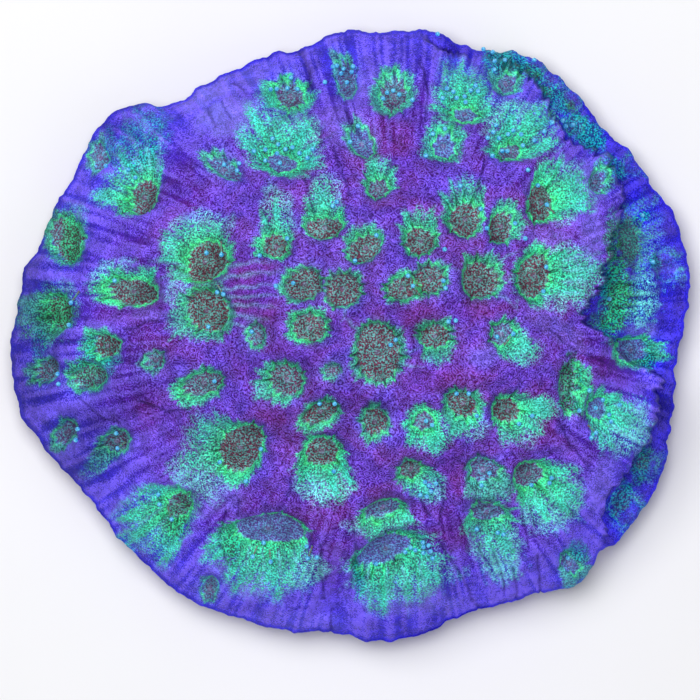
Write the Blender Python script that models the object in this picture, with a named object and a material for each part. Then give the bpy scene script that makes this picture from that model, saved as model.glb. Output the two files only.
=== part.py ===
"""A live brain coral colony, cut off flat where it grew on rock.

One solid: a low dome of living tissue with a scalloped margin, about seventy sunken polyps
with raised ridges between them, and a lower tier that shows along the east side. Metres, +Z up,
origin on the cut at the middle of the plan, +X to the east and +Y to the north of the plan.

Places are read by eye from a picture that looks straight down on the colony. They are given in that
picture's pixels, x to the right and y down, and COLONY_LENGTH sets their real size.
"""

import math

import bpy
import numpy as np

COLONY_LENGTH = 0.1226  # west to east over the margin
PLAN_SPAN = 681.0  # the same length in the picture's pixels
PIXEL = COLONY_LENGTH / PLAN_SPAN
SUMMIT = (398.0, 318.0)  # the highest point of the dome, in pixels

COLONY_HEIGHT = 0.0435  # summit above the cut
DOME_POWER = 2.2  # how flat the crown stays before the sides fall
DOME_ROUND = 0.8  # below 1 the sides steepen towards the margin
SMOOTH_WAVES = 6  # waves round the colony that its inner contours keep
EDGE_WAVES = 26  # waves round the colony that the upper body's edge keeps
WIGGLE_POWER = 6  # how close to an edge its own wiggles stay
MARGIN_HEIGHT = 0.0068  # living margin above the cut
LIP_THICKNESS = 0.0026
UNDERCUT = 0.0058  # how far the cut lies inside the margin
CUT_DEPTH = 0.004  # rock side modelled below the cut, then taken off

UPPER_EDGE_RISE = 0.0060  # how much the upper body's edge is lifted where the lower tier shows
TIER_RISE = 0.0130  # inner side of the lower tier above the margin
TIER_SLOPE = 0.85  # a narrow tier rises no more than this times its width
TIER_POWER = 1.6  # how flat the tier stays before it falls to the margin
STEP_INNER = 0.0016  # the step between upper body and tier starts this far inside the edge
STEP_WIDTH = 0.0028

POLYP_DEPTH = 0.0031  # floor of a full-size polyp below the ridges
WALL_DEPTH = 0.68  # share of that depth in the steep wall; the rest is in the ridge's rounded shoulder
SHOULDER = 11.0  # width of the shoulder outside the wall, in pixels
BLEND_POWER = 5  # how sharply neighbouring polyps meet in a ridge
FULL_SIZE = 14.0  # mean half width in pixels from which a polyp has its full depth
LEAST_SIZE = 0.35  # share of the full depth that the smallest polyps have
LEAST_WALL = 4.0  # narrowest wall round a disc, in pixels
MOUTH_RISE = 0.0005  # low mound round each mouth
MOUTH_SPREAD = 0.45  # its width as a share of the disc's
LEAN_LIMIT = 0.95  # no polyp leans more than one this far out from the summit
NEAR = 0.01  # step over which the dome's fall is measured, as a share of its reach
SWELL = 0.0007  # broad lumps over the whole dome

SCALLOPS = 68  # lobes round the margin, on average
SCALLOP_DRIFT = 1.8  # how far they wander from an even spacing, in radians of one lobe
SCALLOP_REACH = 0.0004
RIB_HEIGHT = 0.0003  # radial ribs that end in the scallops
RIB_START = 0.72  # how far out from the summit they begin

RINGS = 120  # rings of points from summit to margin
SPOKES = 340  # points in each ring, five to a scallop
TRIANGLES = 9300  # left once flat stretches are thinned out

TISSUE_COLOUR = (0.10, 0.06, 0.52, 1.0)
TISSUE_ROUGHNESS = 0.45

# The colony's outline, clockwise from the north-west lobe.
OUTLINE = [
    (113, 112), (141, 104), (172, 103), (200, 85), (240, 66), (276, 52), (302, 49), (346, 29), (380, 32),
    (412, 28), (436, 32), (460, 43), (484, 49), (513, 52), (540, 62), (563, 80), (585, 103), (605, 130),
    (635, 155), (652, 184), (674, 214), (685, 250), (690, 285), (684, 328), (677, 358), (676, 390),
    (671, 427), (660, 480), (640, 513), (620, 540), (602, 552), (580, 583), (543, 592), (516, 600),
    (473, 611), (430, 631), (400, 640), (376, 643), (340, 634), (305, 634), (262, 625), (220, 613),
    (184, 596), (142, 561), (114, 534), (91, 502), (66, 473), (41, 444), (23, 420), (13, 383), (10, 345),
    (17, 310), (23, 272), (41, 241), (55, 206), (73, 176), (98, 129),
]

# The upper body's edge. It shows from the north round the east to the south-east, where the lower tier
# comes out from under it, and runs clear of the outline everywhere else.
UPPER_EDGE = [
    (412, 14), (424, 38), (447, 49), (480, 57), (518, 67), (548, 92), (557, 112), (552, 131), (575, 141),
    (600, 150), (618, 168), (624, 190), (618, 222), (608, 250), (597, 290), (587, 312), (600, 335),
    (640, 356), (656, 380), (655, 402), (648, 432), (630, 465), (614, 495), (606, 525), (604, 552),
    (600, 600), (480, 690), (300, 720), (60, 640), (-70, 400), (-50, 160), (120, 0), (300, -40),
]

# Each polyp's oral disc and the wall round it, in pixels:
# x, y, half width, half height, turn in degrees, then the wall's width to the left, right, top and bottom.
POLYPS = {
    "north_slope": [
        (292, 97, 11, 9, 0, 12, 12, 4, 18),
        (285, 163, 16, 8, -15, 26, 24, 38, 10),
        (346, 80, 8, 14, 0, 6, 5, 6, 8),
        (393, 100, 12, 13, 0, 10, 12, 8, 12),
        (463, 118, 10, 6, 0, 20, 16, 45, 8),
        (505, 84, 8, 7, 15, 12, 10, 26, 8),
        (508, 153, 10, 7, 0, 18, 32, 36, 8),
        (362, 147, 8, 12, 30, 5, 4, 8, 5),
        (442, 150, 10, 9, 0, 14, 14, 12, 10),
        (228, 168, 14, 6, -30, 6, 4, 4, 4),
    ],
    "north_west_lobe": [
        (148, 197, 11, 18, -15, 22, 4, 32, 5),
        (105, 160, 4, 12, 0, 5, 4, 10, 6),
        (72, 238, 9, 18, 0, 9, 10, 18, 12),
    ],
    "upper_crown": [
        (378, 190, 8, 9, 0, 9, 8, 22, 5),
        (326, 228, 15, 9, 8, 6, 6, 30, 4),
        (278, 247, 10, 11, 0, 10, 12, 32, 5),
        (366, 250, 15, 11, 30, 8, 6, 12, 4),
        (420, 243, 12, 13, 0, 8, 6, 24, 4),
        (463, 221, 12, 18, 0, 10, 6, 18, 4),
        (498, 229, 11, 13, 0, 5, 14, 12, 4),
        (538, 204, 12, 17, 0, 5, 26, 20, 7),
    ],
    "middle_crown": [
        (305, 284, 17, 13, 18, 9, 3, 6, 5),
        (343, 289, 17, 15, 0, 3, 6, 6, 6),
        (401, 289, 15, 10, 20, 6, 3, 7, 6),
        (428, 281, 13, 14, 0, 3, 6, 6, 6),
        (478, 281, 17, 16, 0, 5, 6, 9, 5),
        (532, 277, 15, 20, 0, 6, 38, 8, 9),
        (311, 328, 15, 11, 0, 8, 10, 6, 6),
        (377, 352, 20, 26, 0, 5, 6, 5, 6),
        (434, 336, 14, 11, 10, 7, 8, 7, 15),
        (497, 334, 10, 8, 45, 6, 9, 5, 28),
        (333, 370, 6, 4, 10, 4, 4, 4, 4),
    ],
    "west_crown": [
        (208, 262, 20, 20, 0, 15, 10, 14, 4),
        (210, 311, 20, 19, 0, 13, 8, 4, 10),
        (136, 291, 20, 13, -10, 14, 9, 17, 5),
        (258, 336, 6, 9, 0, 5, 4, 5, 5),
        (160, 360, 6, 6, -30, 6, 5, 8, 6),
        (205, 384, 18, 9, 20, 8, 8, 8, 8),
        (288, 380, 15, 15, 0, 13, 6, 8, 6),
    ],
    "west_slope": [
        (60, 312, 10, 14, 0, 20, 6, 8, 14),
        (110, 346, 10, 10, 0, 15, 5, 6, 9),
        (92, 377, 14, 10, 0, 7, 5, 8, 7),
        (50, 370, 8, 10, 0, 8, 4, 5, 7),
        (70, 433, 6, 8, -30, 6, 5, 8, 8),
        (118, 443, 9, 12, -35, 6, 6, 8, 24),
    ],
    "lower_crown": [
        (321, 411, 17, 8, 25, 5, 5, 6, 6),
        (375, 421, 10, 11, 0, 6, 6, 10, 6),
        (422, 418, 7, 7, 0, 14, 13, 14, 18),
        (461, 402, 14, 11, -30, 7, 8, 8, 20),
        (507, 410, 12, 12, 0, 7, 20, 13, 17),
        (243, 446, 18, 24, -25, 28, 9, 7, 15),
        (323, 451, 15, 13, 0, 11, 17, 8, 28),
        (410, 467, 10, 9, -20, 6, 24, 6, 16),
        (481, 468, 12, 9, 0, 9, 13, 6, 15),
    ],
    "south_slope": [
        (528, 473, 14, 10, 10, 5, 24, 6, 24),
        (484, 509, 14, 9, 0, 11, 12, 6, 34),
        (383, 507, 18, 7, 5, 9, 14, 5, 13),
        (387, 548, 28, 12, 18, 9, 22, 5, 30),
        (270, 528, 33, 14, -6, 13, 13, 4, 36),
        (180, 504, 10, 12, -20, 36, 7, 10, 36),
        (213, 584, 5, 8, 0, 4, 4, 7, 6),
        (568, 561, 6, 6, 0, 6, 14, 13, 14),
    ],
    "east_slope": [
        (564, 385, 7, 24, -5, 4, 12, 6, 7),
        (595, 407, 7, 10, 0, 9, 16, 14, 26),
        (634, 350, 12, 9, 0, 14, 14, 8, 12),
        (597, 181, 5, 9, 0, 6, 8, 7, 7),
    ],
    "lower_tier": [
        (629, 240, 9, 30, 5, 5, 14, 10, 10),
        (606, 306, 6, 18, -20, 5, 22, 5, 8),
        (662, 267, 6, 12, 10, 7, 7, 10, 10),
        (640, 463, 7, 10, -20, 8, 7, 8, 8),
        (622, 505, 7, 13, -20, 8, 9, 12, 13),
        (531, 68, 8, 4, -35, 8, 8, 5, 5),
        (548, 84, 7, 4, -45, 8, 8, 5, 5),
        (569, 104, 7, 4, -48, 8, 8, 5, 6),
        (572, 130, 8, 4, -28, 8, 24, 5, 8),
        (629, 168, 6, 8, 35, 6, 6, 6, 8),
    ],
}


def clear_scene():
    for thing in list(bpy.data.objects):
        bpy.data.objects.remove(thing)


def smoothstep(value):
    value = np.clip(value, 0.0, 1.0)
    return value * value * (3.0 - 2.0 * value)


def reach_of(points, angles):
    """Distance from the summit to a closed curve through the points, for each angle."""
    places = np.array(points, float)
    east = (places[:, 0] - SUMMIT[0]) * PIXEL
    north = (SUMMIT[1] - places[:, 1]) * PIXEL
    turn = np.arctan2(north, east)
    order = np.argsort(turn)
    turn = turn[order]
    reach = np.hypot(east, north)[order]
    knots = np.concatenate([turn - math.tau, turn, turn + math.tau])
    heights = np.tile(reach, 3)
    slopes = np.gradient(heights, knots)
    first = np.searchsorted(knots, angles, side="right") - 1
    gap = knots[first + 1] - knots[first]
    part = (angles - knots[first]) / gap
    start_weight = (1 + 2 * part) * (1 - part) ** 2
    end_weight = part**2 * (3 - 2 * part)
    start_bend = part * (1 - part) ** 2 * gap * slopes[first]
    end_bend = part**2 * (part - 1) * gap * slopes[first + 1]
    return start_weight * heights[first] + end_weight * heights[first + 1] + start_bend + end_bend


def smoothed(reach, kept=SMOOTH_WAVES):
    """The same closed curve with only its broad waves, from values at even angles."""
    waves = np.fft.rfft(reach)
    waves[kept:] = 0
    return np.fft.irfft(waves, len(reach))


def profile(share):
    """Height of the dome from 1 at the summit to 0 at its edge."""
    return (1 - np.clip(share, 0.0, 1.0) ** DOME_POWER) ** DOME_ROUND


def base_height(reach, share, outer, upper):
    """Height of the dome and of the tier below its east edge, before any polyp is sunk."""
    upper = np.minimum(outer, smoothed(np.minimum(outer, upper), EDGE_WAVES))
    tier_width = outer - upper
    shown = smoothstep(tier_width / STEP_WIDTH)
    edge = MARGIN_HEIGHT + UPPER_EDGE_RISE * smoothed(shown)
    dome = edge + (COLONY_HEIGHT - edge) * profile(share)
    rise = np.minimum(TIER_RISE, TIER_SLOPE * tier_width)
    across = np.clip((reach - upper) / np.maximum(tier_width, PIXEL), 0.0, 1.0)
    tier = MARGIN_HEIGHT + rise * (1 - across**TIER_POWER)
    step = smoothstep((reach - upper + STEP_INNER) / STEP_WIDTH) * shown
    return dome * (1 - step) + tier * step


def dome_lean(x, y):
    """How far the dome's normal leans to the east and to the north, at a place in pixels."""
    east = (x - SUMMIT[0]) * PIXEL
    north = (SUMMIT[1] - y) * PIXEL
    reach = math.hypot(east, north)
    outer = float(reach_of(OUTLINE, np.array([math.atan2(north, east)]))[0])
    share = min(reach / outer, LEAN_LIMIT)
    fall = (profile(share - NEAR) - profile(share + NEAR)) / (2 * NEAR)
    fall *= (COLONY_HEIGHT - MARGIN_HEIGHT) / outer
    lean = fall / math.hypot(1.0, fall)
    return lean * east / reach, lean * north / reach


def round_polyp(east, north, polyp, depth):
    """Distance beyond a polyp's disc, width of the wall there, and distance from its mouth by the disc's.

    A pit on the dome's side is sunk inwards and not straight down, so its disc is set off by as much,
    and seen from above the wall on the summit's side is hidden and the other one spread.
    """
    x, y, half_width, half_height, turn, left, right, top, bottom = polyp
    cosine_turn = math.cos(math.radians(turn))
    sine_turn = math.sin(math.radians(turn))
    lean_east, lean_north = dome_lean(x, y)
    shift = depth / PIXEL
    east = east - x - lean_east * shift
    north = north + y - lean_north * shift
    across = east * cosine_turn + north * sine_turn
    along = north * cosine_turn - east * sine_turn
    reach = np.hypot(across, along) + 1e-9
    cosine = across / reach
    sine = along / reach
    disc = 1.0 / np.hypot(cosine / half_width, sine / half_height)
    wall = cosine**2 * np.where(cosine > 0, right, left) + sine**2 * np.where(sine > 0, top, bottom)
    lean_across = lean_east * cosine_turn + lean_north * sine_turn
    lean_along = lean_north * cosine_turn - lean_east * sine_turn
    wall = np.maximum(wall - shift * (cosine * lean_across + sine * lean_along), LEAST_WALL)
    return reach - disc, wall, reach / disc


def polyp_relief(east, north):
    """Depth of the polyps below the ridges, with a low mound round each mouth."""
    depths = np.zeros_like(east)
    mounds = np.zeros_like(east)
    for group in POLYPS.values():
        for polyp in group:
            size = min(1.0, math.sqrt(polyp[2] * polyp[3]) / FULL_SIZE)
            depth = POLYP_DEPTH * (LEAST_SIZE + (1 - LEAST_SIZE) * size)
            beyond, wall, from_mouth = round_polyp(east, north, polyp, depth)
            steep = WALL_DEPTH * (1 - smoothstep(beyond / wall))
            gentle = (1 - WALL_DEPTH) * (1 - smoothstep(beyond / (wall + SHOULDER)))
            depths += (depth * (steep + gentle)) ** BLEND_POWER
            mounds += MOUTH_RISE * size * np.exp(-((from_mouth / MOUTH_SPREAD) ** 2))
    return mounds - depths ** (1 / BLEND_POWER)


def swell(east, north):
    """Broad uneven lumps, the same each time."""
    waves = np.sin(east / 31 + 0.6) * np.sin(north / 27 - 1.1) + 0.6 * np.sin(east / 17 - north / 21)
    return SWELL * waves


def margin_lobes(turn):
    """Uneven lobes round the margin: 0 on each lobe and down to -1 in the notches between them."""
    drift = SCALLOP_DRIFT * (np.sin(5 * turn + 0.8) + 0.6 * np.sin(11 * turn - 2.0))
    size = 0.55 + 0.45 * np.sin(9 * turn + 2 * np.sin(4 * turn) + 1.5 * np.sin(13 * turn))
    return -(0.5 + 0.5 * np.cos(SCALLOPS * turn + drift)) * size


def colony_rings():
    """Rings of points from the summit over the margin and down the side that grew on the rock."""
    angles = np.arange(SPOKES) * math.tau / SPOKES - math.pi
    outer = reach_of(OUTLINE, angles)
    soft_outer = smoothed(outer)
    share = (np.arange(1, RINGS + 1) / RINGS)[:, None]
    share = 1 - (1 - share) ** 1.25
    reach = share * (soft_outer + (outer - soft_outer) * share**WIGGLE_POWER)
    turn = np.broadcast_to(angles, reach.shape)
    height = base_height(reach, share, outer, reach_of(UPPER_EDGE, angles))
    lobes = margin_lobes(turn)
    reach = reach + SCALLOP_REACH * lobes * share**14
    base = np.stack([reach * np.cos(turn), reach * np.sin(turn), height], axis=-1)

    plain = base.copy()
    plain[..., 2] = MARGIN_HEIGHT + (COLONY_HEIGHT - MARGIN_HEIGHT) * profile(share)
    along = np.gradient(plain, axis=0)
    around = np.roll(plain, -1, axis=1) - np.roll(plain, 1, axis=1)
    normal = np.cross(along, around)
    normal /= np.linalg.norm(normal, axis=-1, keepdims=True)

    east = base[..., 0] / PIXEL + SUMMIT[0]
    north = base[..., 1] / PIXEL - SUMMIT[1]
    fade = 1 - smoothstep((share - 0.93) / 0.07)
    relief = (polyp_relief(east, north) + swell(east, north)) * fade
    relief += RIB_HEIGHT * lobes * smoothstep((share - RIB_START) / (1 - RIB_START))
    top = base + normal * relief[..., None]

    rim = top[-1]
    outward = np.stack([np.cos(angles), np.sin(angles)], axis=-1)
    under = []
    for inset, drop in (
        (-0.0003, 0.35 * LIP_THICKNESS),
        (0.0002, 0.8 * LIP_THICKNESS),
        (0.0022, 1.1 * LIP_THICKNESS),
        (UNDERCUT, MARGIN_HEIGHT),
        (UNDERCUT + 0.0006, MARGIN_HEIGHT + CUT_DEPTH),
    ):
        ring = rim.copy()
        ring[:, :2] -= outward * inset
        ring[:, 2] = MARGIN_HEIGHT - drop
        under.append(ring)
    return np.concatenate([top, np.array(under)])


def colony_mesh():
    rings = colony_rings()
    points = rings.reshape(-1, 3)
    summit = np.array([[0.0, 0.0, COLONY_HEIGHT]])
    bottom = np.array([[0.0, 0.0, -CUT_DEPTH]])
    points = np.concatenate([points, summit, bottom])
    middle = (points.max(axis=0) + points.min(axis=0)) / 2
    points[:, :2] -= middle[:2]

    count = len(rings)
    top_point = count * SPOKES
    bottom_point = top_point + 1
    faces = []
    for ring in range(count - 1):
        here = ring * SPOKES
        for spoke in range(SPOKES):
            after = (spoke + 1) % SPOKES
            faces.append((here + spoke, here + SPOKES + spoke, here + SPOKES + after, here + after))
    last = (count - 1) * SPOKES
    for spoke in range(SPOKES):
        after = (spoke + 1) % SPOKES
        faces.append((top_point, spoke, after))
        faces.append((bottom_point, last + after, last + spoke))

    mesh = bpy.data.meshes.new("coral_colony")
    mesh.from_pydata(points.tolist(), [], faces)
    mesh.update()
    return mesh


def tissue_material():
    material = bpy.data.materials.new("living_tissue")
    material.use_nodes = True
    shader = material.node_tree.nodes["Principled BSDF"]
    shader.inputs["Base Color"].default_value = TISSUE_COLOUR
    shader.inputs["Roughness"].default_value = TISSUE_ROUGHNESS
    shader.inputs["Metallic"].default_value = 0.0
    return material


def cut_block():
    """A guide block whose top is the flat cut, at Z 0."""
    side = 1.4 * COLONY_LENGTH
    depth = 4 * CUT_DEPTH
    bpy.ops.mesh.primitive_cube_add(size=1, location=(0, 0, -depth / 2))
    block = bpy.context.object
    block.name = "cut_block"
    block.scale = (side, side, depth)
    block.hide_render = True
    block.display_type = "WIRE"
    return block


def coral_colony():
    mesh = colony_mesh()
    mesh.materials.append(tissue_material())
    colony = bpy.data.objects.new("coral_colony", mesh)
    bpy.context.scene.collection.objects.link(colony)
    mesh.shade_smooth()

    thin = colony.modifiers.new("thin_flat_stretches", "DECIMATE")
    drawn = 2 * SPOKES * (RINGS + 5)
    thin.ratio = TRIANGLES / drawn

    cut = colony.modifiers.new("cut_from_rock", "BOOLEAN")
    cut.operation = "DIFFERENCE"
    cut.object = cut_block()
    return colony


clear_scene()
coral_colony()
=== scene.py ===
import math
import time
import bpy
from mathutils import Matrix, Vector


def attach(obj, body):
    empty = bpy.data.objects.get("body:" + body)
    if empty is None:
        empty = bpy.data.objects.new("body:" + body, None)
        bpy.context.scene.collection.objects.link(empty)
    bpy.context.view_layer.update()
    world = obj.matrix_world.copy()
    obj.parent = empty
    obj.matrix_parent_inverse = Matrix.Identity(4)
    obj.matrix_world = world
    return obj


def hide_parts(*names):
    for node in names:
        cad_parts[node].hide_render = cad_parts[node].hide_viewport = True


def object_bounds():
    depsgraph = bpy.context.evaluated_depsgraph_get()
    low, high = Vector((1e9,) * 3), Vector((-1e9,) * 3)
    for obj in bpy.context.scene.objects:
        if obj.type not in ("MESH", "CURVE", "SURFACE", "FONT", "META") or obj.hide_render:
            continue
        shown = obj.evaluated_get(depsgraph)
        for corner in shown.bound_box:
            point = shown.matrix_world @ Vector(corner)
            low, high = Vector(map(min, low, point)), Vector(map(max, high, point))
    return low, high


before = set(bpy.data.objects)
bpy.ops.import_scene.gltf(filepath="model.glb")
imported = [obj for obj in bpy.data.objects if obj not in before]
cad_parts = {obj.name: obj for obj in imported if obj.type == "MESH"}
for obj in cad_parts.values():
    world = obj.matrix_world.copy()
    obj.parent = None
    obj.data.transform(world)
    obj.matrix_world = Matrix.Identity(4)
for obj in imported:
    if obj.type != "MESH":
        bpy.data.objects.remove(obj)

from types import SimpleNamespace

import bpy
import numpy as np
from mathutils import Vector

started = time.time()
cadLow, cadHigh = [list(corner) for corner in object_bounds()]


def say(words):
    print(f"[coral] {time.time() - started:5.1f} s  {words}")


# The colony's plan, in pixels of a picture that looks straight down on it, and its sides in metres.
colony = {
    "length": 0.1226,  # west to east over the margin
    "planSpan": 681.0,  # the same length in pixels
    "summit": (398.0, 318.0),
    "height": 0.0435,
    "domePower": 2.2,
    "domeRound": 0.8,
    "smoothWaves": 6,
    "edgeWaves": 26,
    "wigglePower": 6,
    "marginHeight": 0.0068,
    "lipThickness": 0.0026,
    "undercut": 0.0058,
    "edgeRise": 0.0060,
    "tierRise": 0.0130,
    "tierSlope": 0.85,
    "tierPower": 1.6,
    "stepInner": 0.0004,
    "stepWidth": 0.0009,
    "shownWidth": 0.0028,
    "edgeTeeth": 0.0008,
    "sharpTeeth": (300, 91, 2.2),  # how many round the upper body, their seed and their share
    "softTeeth": (110, 92, 0.6),
    "shadeOut": 4.5,  # pixels from the step that its shade lies on the tier, and on the upper body
    "shadeIn": 1.5,
    "swell": 0.0007,
    "swellSpans": (31, 27, 17, 21),  # pixels
    "lobes": 68,
    "lobeDrift": 1.8,
    "lobeReach": 0.00025,
    "lobePower": 14,
    "ribHeight": 0.0003,
    "ribStart": 0.72,
    "calmStart": 0.93,  # share of the way out from which pits and swell fade
    "costaeStart": 0.45,  # and from which the costae show, and over what share
    "costaeFade": 0.35,
    "rings": 340,
    "spokes": 1400,
    "quarterRings": 40,  # the rings from the summit that have a quarter of the spokes
    "halfRings": 110,  # the last ring that has half of them
}
pixel = colony["length"] / colony["planSpan"]

outline = [
    (113, 112), (141, 104), (172, 103), (200, 85), (240, 66), (276, 52), (302, 49), (346, 29), (380, 32),
    (412, 28), (436, 32), (460, 43), (484, 49), (513, 52), (540, 62), (563, 80), (585, 103), (605, 130),
    (635, 155), (652, 184), (674, 214), (685, 250), (690, 285), (684, 328), (677, 358), (676, 390),
    (671, 427), (660, 480), (640, 513), (620, 540), (602, 552), (580, 583), (543, 592), (516, 600),
    (473, 611), (430, 631), (400, 640), (376, 643), (340, 634), (305, 634), (262, 625), (220, 613),
    (184, 596), (142, 561), (114, 534), (91, 502), (66, 473), (41, 444), (23, 420), (13, 383), (10, 345),
    (17, 310), (23, 272), (41, 241), (55, 206), (73, 176), (98, 129),
]

# The upper body's edge, which runs clear of the outline where no lower tier shows.
upperEdge = [
    (412, 14), (424, 38), (447, 49), (480, 57), (518, 67), (548, 92), (557, 112), (552, 131), (575, 141),
    (600, 150), (618, 168), (624, 190), (618, 222), (608, 250), (597, 290), (587, 312), (600, 335),
    (640, 356), (656, 380), (655, 402), (648, 432), (630, 465), (614, 495), (606, 525), (604, 552),
    (600, 600), (480, 690), (300, 720), (60, 640), (-70, 400), (-50, 160), (120, 0), (300, -40),
]

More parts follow.
